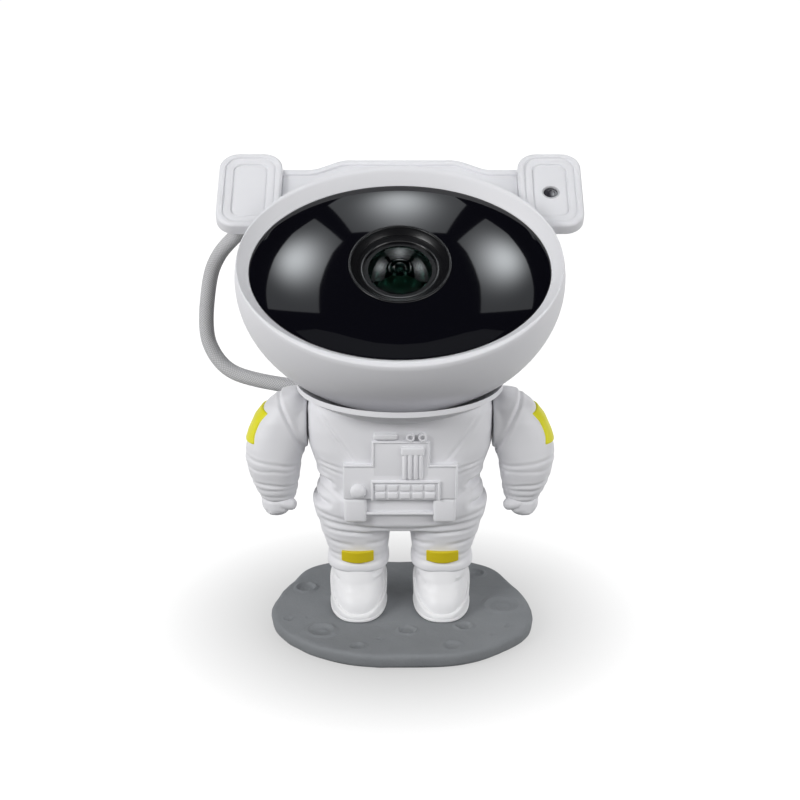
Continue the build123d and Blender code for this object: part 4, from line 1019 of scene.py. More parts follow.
@dataclass
class Ear:
    """Stepped block beside the helmet, built on the right and mirrored for the left."""

    side: Side
    x: float = 62.3
    u: float = 47.4
    face_f: float = 2.0
    wide: float = 26.4
    high: float = 41.4
    thick: float = 6.0
    corner: float = 8.0
    window_r: float = 3.7
    window_drop: float = 1.2
    edge: float = 1.2
    steps: tuple = ((2.2, 0.0), (2.45, -0.08), (2.6, -0.75), (2.95, -0.85), (3.3, -0.55),
                    (3.7, -0.5), (5.6, -0.5), (5.85, -0.6), (6.0, -1.3), (6.35, -1.4),
                    (6.7, -1.08), (7.2, -1.0))

    def shell(self) -> bmesh.types.BMesh:
        """Rounded block whose front face steps down twice behind fine grooves."""
        border = [(1.4, -self.thick), (0.5, -self.thick + 0.1), (0.0, -self.thick + 0.7)]
        for t in range(0, 91, 15):
            border.append((self.edge - self.edge * cos(radians(t)),
                           self.edge * sin(radians(t)) - self.edge))
        border += self.steps
        return stacked([rounded_loop(self.wide / 2 - inset, self.high / 2 - inset,
                                     self.corner - 0.7 * inset, f) for inset, f in border])

    def build(self) -> None:
        """One block that stands for the shell and its cap; the window is on the right."""
        word = self.side.word
        shell = placed(self.shell(), Matrix.Translation((self.x, self.u, self.face_f)))
        if self.side is Side.RIGHT:
            drill = pin((self.window_r, 9.0, CRISP, 48),
                        (self.x, self.u - self.window_drop, self.face_f - 2.4))
            shell = carved(shell, drill)
            self.window()
        else:
            shell = placed(shell, Matrix.Scale(-1, 4, (1, 0, 0)))
        head_piece(f"{word}_ear", shell, SHELL, f"{word}_ear_shell", f"{word}_ear_cap")

    def window(self) -> None:
        """Dark window with a thin turned rim."""
        r = self.window_r
        top = self.face_f - 1.0
        rim = [(r - 0.05, top - 1.2), (r - 0.05, top - 0.05)]
        rim += arc(r - 0.35, top - 0.02, 0.28, 0, 180, 6)
        rim += [(r - 0.7, top - 0.5), (r - 0.7, top - 1.2)]
        at = Matrix.Translation((self.x, self.u - self.window_drop, 0))
        disc = turned([(0, top - 1.2), (r - 0.75, top - 1.2), (r - 0.75, top - 0.62),
                       (r - 1.9, top - 0.6), (r - 2.1, top - 0.78), (0, top - 0.7)], 64)
        head_piece("window_rim", placed(turned(rim, 64), at), IR_RIM)
        head_piece("infrared_window", placed(disc, at), IR_DARK, "ir_window")


@dataclass
class CrownBar:
    """Bar over the helmet: a light moulding along the top over a recessed face."""

    inner_x: float = 49.1
    low_u: float = 60.9
    high_u: float = 66.6
    shoulder_x: float = 36.0
    crest_x: float = 24.0
    front_f: float = -0.5
    back_f: float = -11.0
    lip: float = 2.6
    step: float = 1.2
    foot_u: float = 26.7
    face_drop: float = 0.8
    short: float = 0.08

    def outline(self, drop: float, short: float = 0.0) -> list:
        """Top edge from left to right, lowered by a drop and cut short at both ends."""
        low, high, end = self.low_u - drop, self.high_u - drop, self.inner_x - short
        return [(-end, low), (-self.shoulder_x, low), (-self.crest_x, high),
                (self.crest_x, high), (self.shoulder_x, low), (end, low)]

    def prism(self, top: list, foot: list, f0: float, f1: float, soft: float
              ) -> bmesh.types.BMesh:
        """A flat outline thickened along the visor's axis with rounded edges."""
        bm = bmesh.new()
        bm.faces.new([bm.verts.new((x, u, f0)) for x, u in top + foot])
        thickened(bm, (0, 0, f1 - f0))
        upright = [e for e in bm.edges if abs(e.verts[0].co.z - e.verts[1].co.z) > 1
                   and abs(e.verts[0].co.x) < self.inner_x - 1]
        bevel(bm, upright, 2.4, 5)
        flat = [e for e in bm.edges
                if abs(e.verts[0].co.z - e.verts[1].co.z) < MERGE_DISTANCE]
        bevel(bm, flat, soft, 3)
        return bm

    def build(self) -> None:
        """Moulding and face as one piece."""
        foot = [(self.inner_x, self.foot_u), (-self.inner_x, self.foot_u)]
        face = self.prism(self.outline(self.face_drop), foot, self.back_f,
                          self.front_f - self.step, 0.5)
        under = list(reversed(self.outline(self.lip, self.short)))
        lip = self.prism(self.outline(0.0, self.short), under, self.back_f + self.short,
                         self.front_f, 0.45)
        head_piece("crown_moulding", joined([face, lip]), SHELL, "crown_bar")


# ------------------------------------------------------------------ hose
@dataclass
class Hose:
    """One half of the braided supply hose, along a route that crosses a joint."""

    name: str
    node: str
    route: tuple
    fixed_body: str
    moving_body: str
    blend_start: tuple
    blend_end: tuple
    diameter: float = 6.3
    sides: int = 64
    strands: int = STRANDS
    relief: float = 0.16
    pitch: float = 17.0
    spacing: float = 0.27

    def centreline(self) -> list:
        """Points along the route's smooth line, in millimetres."""
        curve = bpy.data.curves.new(self.name + " line", "CURVE")
        curve.dimensions = "3D"
        curve.resolution_u = 40
        spline = curve.splines.new("NURBS")
        spline.points.add(len(self.route) - 1)
        for point, place in zip(spline.points, self.route):
            point.co = (*place, 1.0)
        spline.order_u = 3
        spline.use_endpoint_u = True
        return [point / MM for point in curve_points(curve)]

    @staticmethod
    def stations(points: Sequence[Vector]) -> list:
        """Distance along the line at each of its points."""
        lengths = [0.0]
        for before, after in zip(points, points[1:]):
            lengths.append(lengths[-1] + (after - before).length)
        return lengths

    def tube(self, points: Sequence[Vector]) -> bmesh.types.BMesh:
        """Tube round the line with the strands in relief and a UV map round and along it."""
        stations = self.stations(points)
        bm = bmesh.new()
        loops = []
        tangent = (points[1] - points[0]).normalized()
        across = tangent.orthogonal().normalized()
        weave = bm.verts.layers.float_vector.new("weave")
        for i, point in enumerate(points):
            ahead = points[min(i + 1, len(points) - 1)] - points[max(i - 1, 0)]
            turn = tangent.rotation_difference(ahead.normalized())
            across = (turn @ across).normalized()
            tangent = ahead.normalized()
            up = tangent.cross(across)
            made = bmesh.ops.create_circle(bm, segments=self.sides, radius=1.0)
            edges = set()
            for vert in made["verts"]:
                angle = atan2(vert.co.y, vert.co.x)
                share = (angle / (2 * pi)) % 1.0
                along = stations[i] / self.pitch
                first = cos(2 * pi * self.strands * (share + along))
                second = cos(2 * pi * self.strands * (share - along))
                over = cos(pi * self.strands * 2 * share) * cos(pi * self.strands * 2 * along)
                lift = 0.5 * max(-first, -second) + 0.25 * over - 0.35
                radius = self.diameter / 2 + self.relief * lift
                vert.co = point + (across * cos(angle) + up * sin(angle)) * radius
                vert[weave] = (share, along, 0.0)
                edges.update(vert.link_edges)
            loops.append(list(edges))
        bridged(bm, loops)
        uv = bm.loops.layers.uv.new("UVMap")
        for face in bm.faces:
            shares = [loop.vert[weave][0] for loop in face.loops]
            wraps = max(shares) - min(shares) > 0.5
            for loop in face.loops:
                share, along, _ = loop.vert[weave]
                loop[uv].uv = (share + 1.0 if wraps and share < 0.5 else share, along)
        return bm

    def evenly(self, points: Sequence[Vector], step: float) -> list:
        """The same line with points a step apart, both ends kept."""
        lengths = self.stations(points)
        count = max(2, round(lengths[-1] / step))
        out, seek = [], 0
        for i in range(count + 1):
            target = lengths[-1] * i / count
            while seek < len(lengths) - 2 and lengths[seek + 1] < target:
                seek += 1
            span = lengths[seek + 1] - lengths[seek]
            share = (target - lengths[seek]) / span if span else 0.0
            out.append(points[seek].lerp(points[seek + 1], share))
        return out

    def build(self) -> None:
        """Tube along the route in the braid finish, in place of its imported node."""
        points = self.evenly(self.centreline(), self.spacing)
        bm = placed(self.tube(points), TO_METRES)
        for face in bm.faces:
            face.smooth = True
        mesh = stored(self.name, bm)
        obj = linked(self.name, mesh)
        mesh.materials.append(BRAID.material())
        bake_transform(obj)
        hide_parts(self.node)


# ------------------------------------------------------------------ body
@dataclass
class Torso:
    """Padded suit of torso and legs, in a front and a back shell."""

    sections: tuple = (
        Ring(33.4, 17.8, 45.5, power=2.9), Ring(35.0, 19.5, 49.0, power=2.9),
        Ring(36.0, 20.9, 54.0, power=2.8), Ring(34.4, 21.4, 58.5, power=2.8),
        Ring(32.3, 20.4, 63.0, power=2.8), Ring(33.0, 21.2, 67.0, power=2.8),
        Ring(35.0, 22.2, 73.0, power=2.8), Ring(37.2, 22.8, 80.0, power=2.9),
        Ring(37.9, 22.8, 88.0, power=3.0), Ring(37.6, 22.4, 96.0, power=2.9),
        Ring(34.0, 20.5, 103.0, power=2.8),
    )
    leg_sections: tuple = (
        Ring(12.6, 15.2, 26.2, 17.4, power=2.6), Ring(13.0, 15.5, 27.2, 17.4, power=2.6),
        Ring(12.9, 15.3, 29.0, 17.4, power=2.6), Ring(12.1, 14.4, 31.6, 17.4, power=2.6),
        Ring(12.7, 14.6, 34.0, 17.5, power=2.6), Ring(13.5, 15.1, 38.0, 17.8, power=2.6),
        Ring(14.5, 15.9, 42.0, 18.4, power=2.6), Ring(15.1, 16.8, 47.0, 18.7, power=2.6),
        Ring(14.8, 17.6, 55.0, 18.9, power=2.6),
    )
    voxel: float = 0.62
    seam_gap: float = 0.2

    creases: tuple = (
        (33.0, 97.5, 19.0, 78.2, 0.55, 0.65), (33.0, 75.3, 23.0, 73.8, 0.35, 0.6),
        (31.6, 72.9, 23.0, 71.0, 0.35, 0.6), (36.5, 66.8, 28.0, 65.4, 2.2, 1.2, True),
        (32.0, 66.2, 23.0, 60.5, 0.4, 0.7), (36.5, 57.4, 29.0, 57.0, 1.6, 1.1, True),
        (34.0, 52.5, 19.0, 50.3, 0.4, 0.7), (32.0, 49.2, 6.4, 47.0, 0.6, 0.9, True),
        (30.5, 45.4, 12.0, 44.0, 0.45, 0.7), (31.0, 40.0, 20.0, 38.6, 0.4, 0.8, True),
        (5.0, 38.4, 13.0, 39.4, 0.4, 0.8, True), (29.5, 33.6, 6.5, 32.6, 0.45, 0.8, True),
        (29.0, 30.9, 6.0, 30.7, 0.45, 0.7, True),
    )

    def folds(self) -> list:
        """The creases of both sides, and the one across the middle."""
        out = [LineFold((sign * x0, z0), (sign * x1, z1), *rest)
               for sign in (-1, 1) for x0, z0, x1, z1, *rest in self.creases]
        return out + [LineFold((-12.0, 46.8), (12.0, 46.8), 0.5, 1.2, back=True)]

    def build(self) -> None:
        """Grows torso and legs together, folds them and splits them at the side seam."""
        legs = [skin([ring.sided(sign) for ring in self.leg_sections], 72) for sign in (1, -1)]
        suit = fused([skin(self.sections, 120), *legs], self.voxel, 6)
        suit = folded(suit, self.folds(), 0.12)
        suit = carved(suit, self.hollows())
        front, back = split(suit, Vector((0, 0, 0)), Vector((0, 1, 0)), self.seam_gap)
        piece("suit_front", front, "stand", SHELL, ["torso_front_shell"])
        piece("suit_back", back, "stand", SHELL, ["torso_back_shell"])

    @staticmethod
    def hollows() -> bmesh.types.BMesh:
        """Room for the collar's dish and the shoulder hubs."""
        hub, hub_x, dome_drop = (12.4, 14.0, CRISP, 64), 37.6, 2.7
        hubs = [pin(hub, (sign * hub_x, 0, SHOULDER_Z), sign * pi / 2) for sign in (-1, 1)]
        return joined([head_dome(dome_drop), *hubs])


@dataclass
class ChestPanel:
    """Raised life-support panel, pouch straps and belt, soft as if moulded in."""

    back_y: float = -15.0
    blocks: tuple = (
        (-22.7, 23.1, 62.2, 77.0, -23.7), (-11.0, 11.7, 72.0, 87.0, -23.73),
        (-10.5, -1.0, 87.5, 90.1, -24.1, 0.8), (-13.6, 13.6, 55.0, 56.2, -22.7, 0.5),
        (-22.4, -13.4, 51.8, 62.6, -23.5, 1.6), (13.4, 22.4, 51.8, 62.6, -23.5, 1.6),
    )
    knob_x: tuple = (4.1, 8.9)
    knob_z: float = 88.7

    def raised(self, x0: float, x1: float, z0: float, z1: float, y: float,
               soft: float = 0.7) -> bmesh.types.BMesh:
        """One soft block whose front face is at y."""
        return block(x0, x1, y, self.back_y, z0, z1, soft, 4)

    def peg(self, x: float, z: float, radius: float, y: float, soft: float) -> bmesh.types.BMesh:
        """A round knob that stands forward to y."""
        return pin((radius, self.back_y - y, soft, 40), (x, self.back_y, z), pi / 2, "X")

    def keypad(self) -> list:
        """Framed keypad with two rows of five keys."""
        x0, x1, z0, z1 = -11.6, 16.1, 62.1, 70.5
        parts = [self.raised(x0, x1, z0, z1, -24.1, 0.5)]
        for a, b, c, d in ((x0 + 0.05, x0 + 1.0, z0 + 0.05, z1 - 0.1),
                           (x1 - 1.0, x1 - 0.05, z0 + 0.05, z1 - 0.1),
                           (x0 + 0.1, x1 - 0.1, z1 - 1.0, z1 - 0.05)):
            parts.append(block(a, b, -24.9, -23.9, c, d, 0.42, 4))
        key_wide, key_tall, pitch_x, pitch_z = 4.1, 2.7, 4.95, 3.3
        for row in (0, 1):
            for column in range(5):
                x, z = x0 + 1.7 + column * pitch_x, z0 + 0.7 + row * pitch_z
                parts.append(self.raised(x, x + key_wide, z, z + key_tall, -24.75, 0.6))
        return parts

    def tube(self) -> list:
        """Fluted canister with a cap, upright in the middle."""
        parts = [self.raised(0.5, 9.6, 81.2, 84.7, -25.0, 0.7),
                 self.raised(0.9, 9.2, 71.1, 82.0, -24.2, 0.5)]
        for x, radius in ((1.9, 0.75), (4.0, 0.9), (6.3, 0.9), (8.3, 0.75)):
            parts.append(pin((radius, 10.6, 0.4, 20), (x, -24.2, 71.3)))
        return parts

    def border(self) -> list:
        """Thin raised line along the top and sides of the stepped panel."""
        lines = ((-22.6, -10.1, 76.2, 77.1), (-11.1, -10.2, 76.3, 87.0), (-11.2, 11.9, 86.2, 87.1),
                 (10.9, 11.8, 76.3, 87.0), (10.8, 23.0, 76.2, 77.1), (22.1, 22.9, 62.4, 77.0))
        return [block(x0, x1, -24.25, -23.2, z0, z1, 0.4, 4) for x0, x1, z0, z1 in lines]

    def build(self) -> None:
        """All the raised parts as one piece."""
        parts = [self.raised(*numbers) for numbers in self.blocks]
        parts += self.border() + self.keypad() + self.tube()
        turn = Matrix.Rotation(pi / 2, 4, "X")
        for x in self.knob_x:
            ring = turned([(0.7, 0.0), (1.7, 0.0)] + arc(1.25, 9.4, 0.45, 0, 180, 8), 36)
            parts.append(placed(ring, Matrix.Translation((x, self.back_y, self.knob_z)) @ turn))
            parts.append(self.peg(x, self.knob_z, 0.75, -23.6, 0.2))
        parts.append(self.peg(-16.7, 65.8, 3.3, -25.6, 2.2))
        piece("chest_relief", joined(parts), "stand", SHELL, ["chest_panel"])


@dataclass
class KneePatch:
    """Bevelled yellow patch that follows the front of a leg."""

    side: Side
    x: float = LEG_X
    wide: float = 13.2
    low_z: float = 31.2
    high_z: float = 36.0
    front_y: float = -16.0
    thick: float = 2.6
    sag: float = 0.5
    slope: float = 0.12
    wrap: float = 2.1

    def build(self) -> None:
        """A curved pad with a rounded border."""
        bm = grid(24, 8)
        tall = self.high_z - self.low_z
        bmesh.ops.scale(bm, vec=(self.wide, tall, 1), verts=bm.verts)
        for vert in bm.verts:
            across = 2 * vert.co.x / self.wide
            height = vert.co.y
            if height < 0:
                height -= self.sag * (1 - across ** 2) * (-2 * height / tall)
            z = (self.low_z + self.high_z) / 2 + height
            lean = (z - self.low_z) * self.slope
            vert.co = Vector((self.side.value * self.x + vert.co.x,
                              self.front_y - lean + self.wrap * across ** 2, z))
        thickened(bm, (0, self.thick, 0))
        border_bevel(bm, radians(60), 0.7)
        # the yellow on the knees holds painted shade
        piece(f"{self.side.word}_knee_patch", bm, "stand", KNEE_YELLOW_PAINTED_SHADE,
              ["knee_patches"] if self.side is Side.LEFT else ())


@dataclass
class Boot:
    """White boot on its sole."""

    side: Side
    x: float = LEG_X
    half: float = 11.8
    toe_y: float = -22.0
    heel_y: float = 13.0
    sole_low: float = 7.0
    sole_top: float = 9.6
    welt_rise: float = 13.0
    toe_taper: float = 0.2
    rows: tuple = (
        (9.6, -21.6, 12.8, 11.3), (10.4, -21.7, 12.9, 11.5), (13.0, -21.6, 12.9, 11.6),
        (15.5, -20.8, 12.9, 11.6), (17.5, -19.2, 13.0, 11.5), (19.5, -17.3, 13.1, 11.3),
        (22.0, -16.3, 13.1, 11.2), (25.0, -15.7, 13.1, 11.1), (28.0, -14.6, 12.6, 10.9),
    )

    def sole(self) -> bmesh.types.BMesh:
        """Rounded sole with a groove round it."""
        middle, half_y = (self.heel_y + self.toe_y) / 2, (self.heel_y - self.toe_y) / 2
        low, top = self.sole_low, self.sole_top
        outline = [(-0.3, low), (0.3, low + 0.15), (0.7, low + 0.6), (0.7, low + 1.3),
                   (0.4, low + 1.5), (0.4, low + 1.7), (0.7, low + 1.9), (0.7, top + 0.4),
                   (0.5, top + 0.7), (-0.3, top + 0.8)]
        sole = self.tapered(skin([Ring(self.half + out, half_y + out, z,
                                       self.side.value * self.x, middle, 2.55)
                                  for out, z in outline], 96))
        for vert in sole.verts:
            if vert.co.z > low + 1.85:
                vert.co.z += self.welt_rise * self.share_back(vert.co.y) ** 0.9
        return sole

    def share_back(self, y: float) -> float:
        """Share of the way from the toe to the heel that a place is at."""
        return min(1.0, max(0.0, (y - self.toe_y) / (self.heel_y - self.toe_y)))

    def tapered(self, bm: bmesh.types.BMesh) -> bmesh.types.BMesh:
        """The same mesh drawn in towards the toe."""
        centre = self.side.value * self.x
        start = self.heel_y - 6.0
        for vert in bm.verts:
            ahead = max(0.0, (start - vert.co.y) / (start - self.toe_y))
            vert.co.x = centre + (vert.co.x - centre) * (1 - self.toe_taper * ahead ** 1.3)
        return bm

    def upper(self) -> bmesh.types.BMesh:
        """Boot with a domed toe, a flat vamp and folds over the instep."""
        x = self.side.value * self.x
        rings = []
        for z, toe, heel, half in self.rows:
            power = 2.45 + 0.1 * (z - self.sole_top) / 20
            rings.append(Ring(half, (heel - toe) / 2, z, x, (heel + toe) / 2, power))
        top = rings[-1]
        rings.append(Ring(top.a - 1.2, top.b - 1.2, top.z + 0.5, top.x, top.y, 2.35))
        bm = self.tapered(skin(rings, 96))
        long = [e for e in bm.edges if e.calc_length() > 1.4 and len(e.link_faces) == 2]
        bmesh.ops.subdivide_edges(bm, edges=long, cuts=1, use_grid_fill=True)
        return folded(bm, self.folds(x), 0.1)

    def folds(self, x: float) -> list:
        """Creases round the shaft and one over the instep."""
        return [
            RingFold((x, -14.0, 24.8), (0, 0.06, 1.0), 0.6, 0.55, 0.8),
            RingFold((x, -14.0, 21.6), (0, -0.12, 1.0), 0.6, 0.5, 0.8),
            RingFold((x, -17.5, 18.6), (0, 0.5, 1.0), 0.45, 0.5, 0.3),
        ]

    def build(self) -> None:
        """Sole and upper."""
        word = self.side.word
        piece(f"{word}_boot_upper", self.upper(), "stand", BOOT, [f"{word}_boot"])
        piece(f"{word}_sole", self.sole(), "stand", SOLE,
              ["boot_soles"] if self.side is Side.LEFT else ())


@dataclass
class Arm:
    """Sleeve, glove and shoulder patch of one arm, which swings at the shoulder."""

    side: Side
    inner_x: float = 37.7
    sections: tuple = (
        Ring(2.2, 3.4, 101.6, 42.0, power=2.3), Ring(4.3, 7.0, 100.2, 43.9, power=2.3),
        Ring(8.9, 10.4, 95.8, 45.1, power=2.5), Ring(11.1, 12.4, 90.0, 47.3, power=2.6),
        Ring(12.3, 13.0, 84.0, 48.8, power=2.6), Ring(12.5, 13.2, 78.0, 50.5, power=2.5),
        Ring(11.7, 13.1, 73.0, 51.7, power=2.4), Ring(10.7, 12.3, 67.0, 51.6, power=2.4),
        Ring(9.3, 10.9, 61.5, 51.2, power=2.4), Ring(8.0, 9.6, 57.4, 50.6, power=2.4),
        Ring(7.0, 8.6, 55.0, 50.2, power=2.4),
    )
    voxel: float = 0.55

    creases: tuple = (
        (44.2, 89.1, -0.907, 0.0, 0.421, 0.8, 0.7, 0.1),
        (50.0, 72.0, -0.18, 0.05, 1.0, 0.4, 0.7, 1.0),
        (50.0, 69.8, -0.05, -0.05, 1.0, 0.28, 0.6, 0.8),
        (50.0, 62.6, -0.12, 0.0, 1.0, 0.45, 0.6, 0.7),
        (50.0, 60.4, -0.02, 0.0, 1.0, 0.3, 0.6, 0.4),
        (50.0, 57.2, 0.0, 0.0, 1.0, 0.35, 0.6, 0.1),
    )
    palm: tuple = (
        Ring(6.4, 7.6, 56.6, 50.2, power=2.3), Ring(6.8, 8.4, 53.8, 50.6, power=2.4),
        Ring(6.3, 8.2, 51.0, 50.8, power=2.4), Ring(4.6, 6.6, 48.4, 51.0, power=2.3),
        Ring(2.6, 4.2, 47.3, 51.0, power=2.2),
    )
    thumb: tuple = (
        ((1.9, 6.4, 1.7, 24), (52.0, -6.0, 50.6), -60),
        ((1.9, 6.4, 1.7, 24), (52.0, -4.4, 49.6), -60),
        ((2.6, 8.0, 2.4, 24), (50.2, -6.4, 54.6), -103),
        ((2.5, 7.0, 2.3, 24), (44.6, -6.2, 52.2), 62),
    )
    patch_z: float = 87.4
    patch_tall: float = 13.6
    patch_lift: float = 0.95
    patch_turn: float = 44.0
    patch_waist: float = 7.0
    patch_thick: float = 2.6
    section_power: float = 2.4

    def folds(self) -> list:
        """Rings round the sleeve: shoulder seam, elbow folds and the cuff."""
        s = self.side.value
        return [RingFold((s * x, 0, z), (s * nx, ny, nz), *rest)
                for x, z, nx, ny, nz, *rest in self.creases]

    def sleeve(self) -> bmesh.types.BMesh:
        """Puffed sleeve with a round shoulder pad and its hub."""
        s = self.side.value
        disc = pin((11.5, 7.0, 1.0, 72), (s * self.inner_x, 0, SHOULDER_Z), s * pi / 2)
        bm = fused([skin([ring.sided(s) for ring in self.sections], 84), disc], self.voxel, 5)
        bm = folded(bm, self.folds(), 0.18)
        sliced(bm, Vector((s * self.inner_x, 0, 0)), Vector((-s, 0, 0)))
        return bm

    def glove(self) -> bmesh.types.BMesh:
        """Loose fist: palm, four curled fingers and a thumb across them."""
        s = self.side.value
        parts = [skin([ring.sided(s) for ring in self.palm], 56)]
        knuckles = [((2.3, 9.0, 2.1, 24), (54.6, -5.7 + i * 3.8, 50.0 + 0.2 * i), -78)
                    for i in range(4)]
        for size, (x, y, z), angle in (*knuckles, *self.thumb):
            parts.append(pin(size, (s * x, y, z), s * radians(angle)))
        return fused(parts, 0.32, 3)

    def patch(self) -> bmesh.types.BMesh:
        """Yellow patch that wraps the outer side of the shoulder."""
        s = self.side.value
        bm = grid(20, 24)
        share = 2.0 / self.section_power
        for vert in bm.verts:
            u, v = vert.co.x * 2, vert.co.y
            z = self.patch_z + v * self.patch_tall
            centre, half_x, half_y = self.section_at(z)
            turn = radians(self.patch_turn - self.patch_waist * (1 - 4 * v * v)) * u
            x = s * (centre + (half_x + self.patch_lift) * abs(cos(turn)) ** share)
            y = (half_y + self.patch_lift) * abs(sin(turn)) ** share * (1 if turn >= 0 else -1)
            vert.co = Vector((x, y, z - 1.0 * u * u * v))
        thickened(bm, (-s * self.patch_thick, 0, -0.8))
        border_bevel(bm, radians(50), 0.6)
        return bm

    def section_at(self, z: float) -> tuple:
        """Centre and half sizes of the sleeve at a height."""
        rows = sorted(self.sections, key=lambda r: r.z)
        for low, high in zip(rows, rows[1:]):
            if low.z <= z <= high.z:
                t = (z - low.z) / (high.z - low.z)
                return (low.x + t * (high.x - low.x), low.a + t * (high.a - low.a),
                        low.b + t * (high.b - low.b))
        return rows[-1].x, rows[-1].a, rows[-1].b

    def build(self) -> None:
        """Sleeve, glove and patch on the arm's own body."""
        word = self.side.word
        body = f"arm_{word}"
        piece(f"{word}_sleeve", self.sleeve(), body, SHELL, [f"{word}_arm"])
        piece(f"{word}_fist", self.glove(), body, SHELL, [f"{word}_glove"])
        piece(f"{word}_arm_patch", self.patch(), body, YELLOW, [f"{word}_shoulder_patch"])


def build_collar() -> None:
    """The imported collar's own shape with its points merged and its round faces smooth."""
    bm = bmesh.new()
    bm.from_mesh(frame["nodes"]["neck_collar"].data)
    bmesh.ops.remove_doubles(bm, verts=bm.verts, dist=2e-6)
    piece("collar_dish", placed(bm, TO_METRES.inverted()), "stand", SHELL, ["neck_collar"],
          sharp=radians(28))


# ------------------------------------------------------------------ moon plate
@dataclass(frozen=True)
class Crater:
    """One crater: centre, radius and depth."""

    x: float
    y: float
    radius: float
    depth: float
    bowl_share: float = 0.86
    reach: float = 2.2
    terraced_from: float = 3.5

    def height(self, x: float, y: float) -> float:
        """Rise or fall of the ground at a point."""
        away = hypot(x - self.x, y - self.y) / self.radius
        if away > self.reach:
            return 0.0
        bowl = -1.2 * self.depth * max(0.0, 1 - (away / self.bowl_share) ** 3)
        crest = 0.8 * min(1.0, self.depth) * exp(-((away - 1.0) / 0.13) ** 2)
        terrace = 0.35 * self.depth * exp(-((away - 0.45) / 0.10) ** 2)
        return bowl + crest + (terrace if self.radius > self.terraced_from else 0.0)


@dataclass
class MoonPlate:
    """Moon ground that the boots stand on, with a rounded wavy edge."""

    outline: tuple = (
        (-37, 36), (-47, 18), (-52, 3), (-53.5, -12), (-43, -34), (-18, -49.5), (4, -51),
        (27, -48), (43, -37), (53, -24), (54.6, -4), (48, 17), (36, 37), (0, 40),
    )
    craters: tuple = (
        Crater(-32, -29, 5.6, 1.1), Crater(-17, -43, 3.1, 0.8), Crater(-46, -18, 2.3, 0.6),
        Crater(3, -29, 3.8, 0.9), Crater(26, -25, 3.7, 0.8), Crater(21, -42.4, 3.9, 0.8),
        Crater(43, -5, 7.4, 1.1), Crater(44.5, -25, 1.6, 0.5), Crater(-40.5, 12, 4.4, 1.0),
        Crater(33, 27, 4.0, 0.8), Crater(-18, 31, 5.6, 1.1), Crater(10, 28, 3.0, 0.7),
        Crater(-8, -37, 1.4, 0.35), Crater(38, -33, 1.8, 0.4), Crater(-38, -17, 1.3, 0.3),
    )
    low_z: float = 1.2
    top_z: float = 7.0
    around: int = 320
    inward: int = 90
    swells: tuple = ((0.30, 0.055), (0.10, 0.22), (0.045, 0.8))
    boot_y: float = -4.5
    boot_reach: float = 12.0
    boot_fade: float = 9.0
    boot_sink: float = 0.12
    mean_radius: float = 50.0
    shoulder: float = 1.7
    wobble: float = 0.25
    wobble_scale: float = 0.18

    def edge_radius(self) -> list:
        """Distance of the smooth outline from the middle at each step of angle."""
        curve = bpy.data.curves.new("plate outline", "CURVE")
        curve.dimensions = "2D"
        curve.resolution_u = 40
        spline = curve.splines.new("BEZIER")
        spline.bezier_points.add(len(self.outline) - 1)
        for point, (x, y) in zip(spline.bezier_points, self.outline):
            point.co = (x, y, 0)
            point.handle_left_type = point.handle_right_type = "AUTO"
        spline.use_cyclic_u = True
        polar = sorted((atan2(p.y, p.x), hypot(p.x, p.y)) for p in curve_points(curve))
        polar = [(polar[-1][0] - 2 * pi, polar[-1][1])] + polar
        polar.append((polar[1][0] + 2 * pi, polar[1][1]))
        radii, seek = [], 0
        for i in range(self.around):
            angle = -pi + 2 * pi * i / self.around
            while seek < len(polar) - 2 and polar[seek + 1][0] <= angle:
                seek += 1
            (a0, r0), (a1, r1) = polar[seek], polar[seek + 1]
            radii.append(r0 + (r1 - r0) * (angle - a0) / max(1e-9, a1 - a0))
        return radii

    def ground(self, x: float, y: float, share: float) -> float:
        """Height of the ground, with its rounded shoulder near the edge."""
        lift = sum(crater.height(x, y) for crater in self.craters)
        lift += sum(height * noise.noise(Vector((x, y, 0)) * scale)
                    for height, scale in self.swells)
        from_boot = hypot(abs(x) - LEG_X, y - self.boot_y)
        rough = min(1.0, max(0.0, (from_boot - self.boot_reach) / self.boot_fade))
        return self.top_z + lift * (1 - share ** 14) * rough - self.boot_sink * (1 - rough)

    def build(self) -> None:
        """Rings of the ground from the middle outwards, then down the edge and under."""
        radii = self.edge_radius()
        bm = bmesh.new()
        loops = []

        def ring(share: float, inset: float, z: float, ground: bool) -> None:
            """Adds one loop at a share of the outline or inset from it."""
            made = bmesh.ops.create_circle(bm, segments=self.around, radius=1.0)
            edges = set()
            for vert in made["verts"]:
                angle = atan2(vert.co.y, vert.co.x)
                i = round((angle + pi) / (2 * pi) * self.around) % self.around
                radius = radii[i] * share - inset
                x, y = radius * cos(angle), radius * sin(angle)
                wobble, height = 0.0, self.ground(x, y, share) if ground else z
                if not ground:
                    wobble = self.wobble * noise.noise(Vector((x, y, z)) * self.wobble_scale)
                spread = 1 + wobble / self.mean_radius
                vert.co = (x * spread, y * spread, height)
                edges.update(vert.link_edges)
            loops.append(list(edges))

        reach = 1.0 - self.shoulder / self.mean_radius
        for i in range(1, self.inward + 1):
            ring(reach * i / self.inward, 0.0, 0.0, True)
        top, low = self.top_z, self.low_z
        for inset, z in ((1.0, top - 0.12), (0.45, top - 0.45), (0.12, top - 1.1),
                         (0.0, top - 2.0), (0.1, 4.0), (0.3, 2.6), (0.6, low + 0.5), (1.0, low)):
            ring(1.0, inset, z, False)
        bridged(bm, loops)
        piece("moon_plate", bm, "stand", ROCK, ["base_plate"], sharp=radians(70))


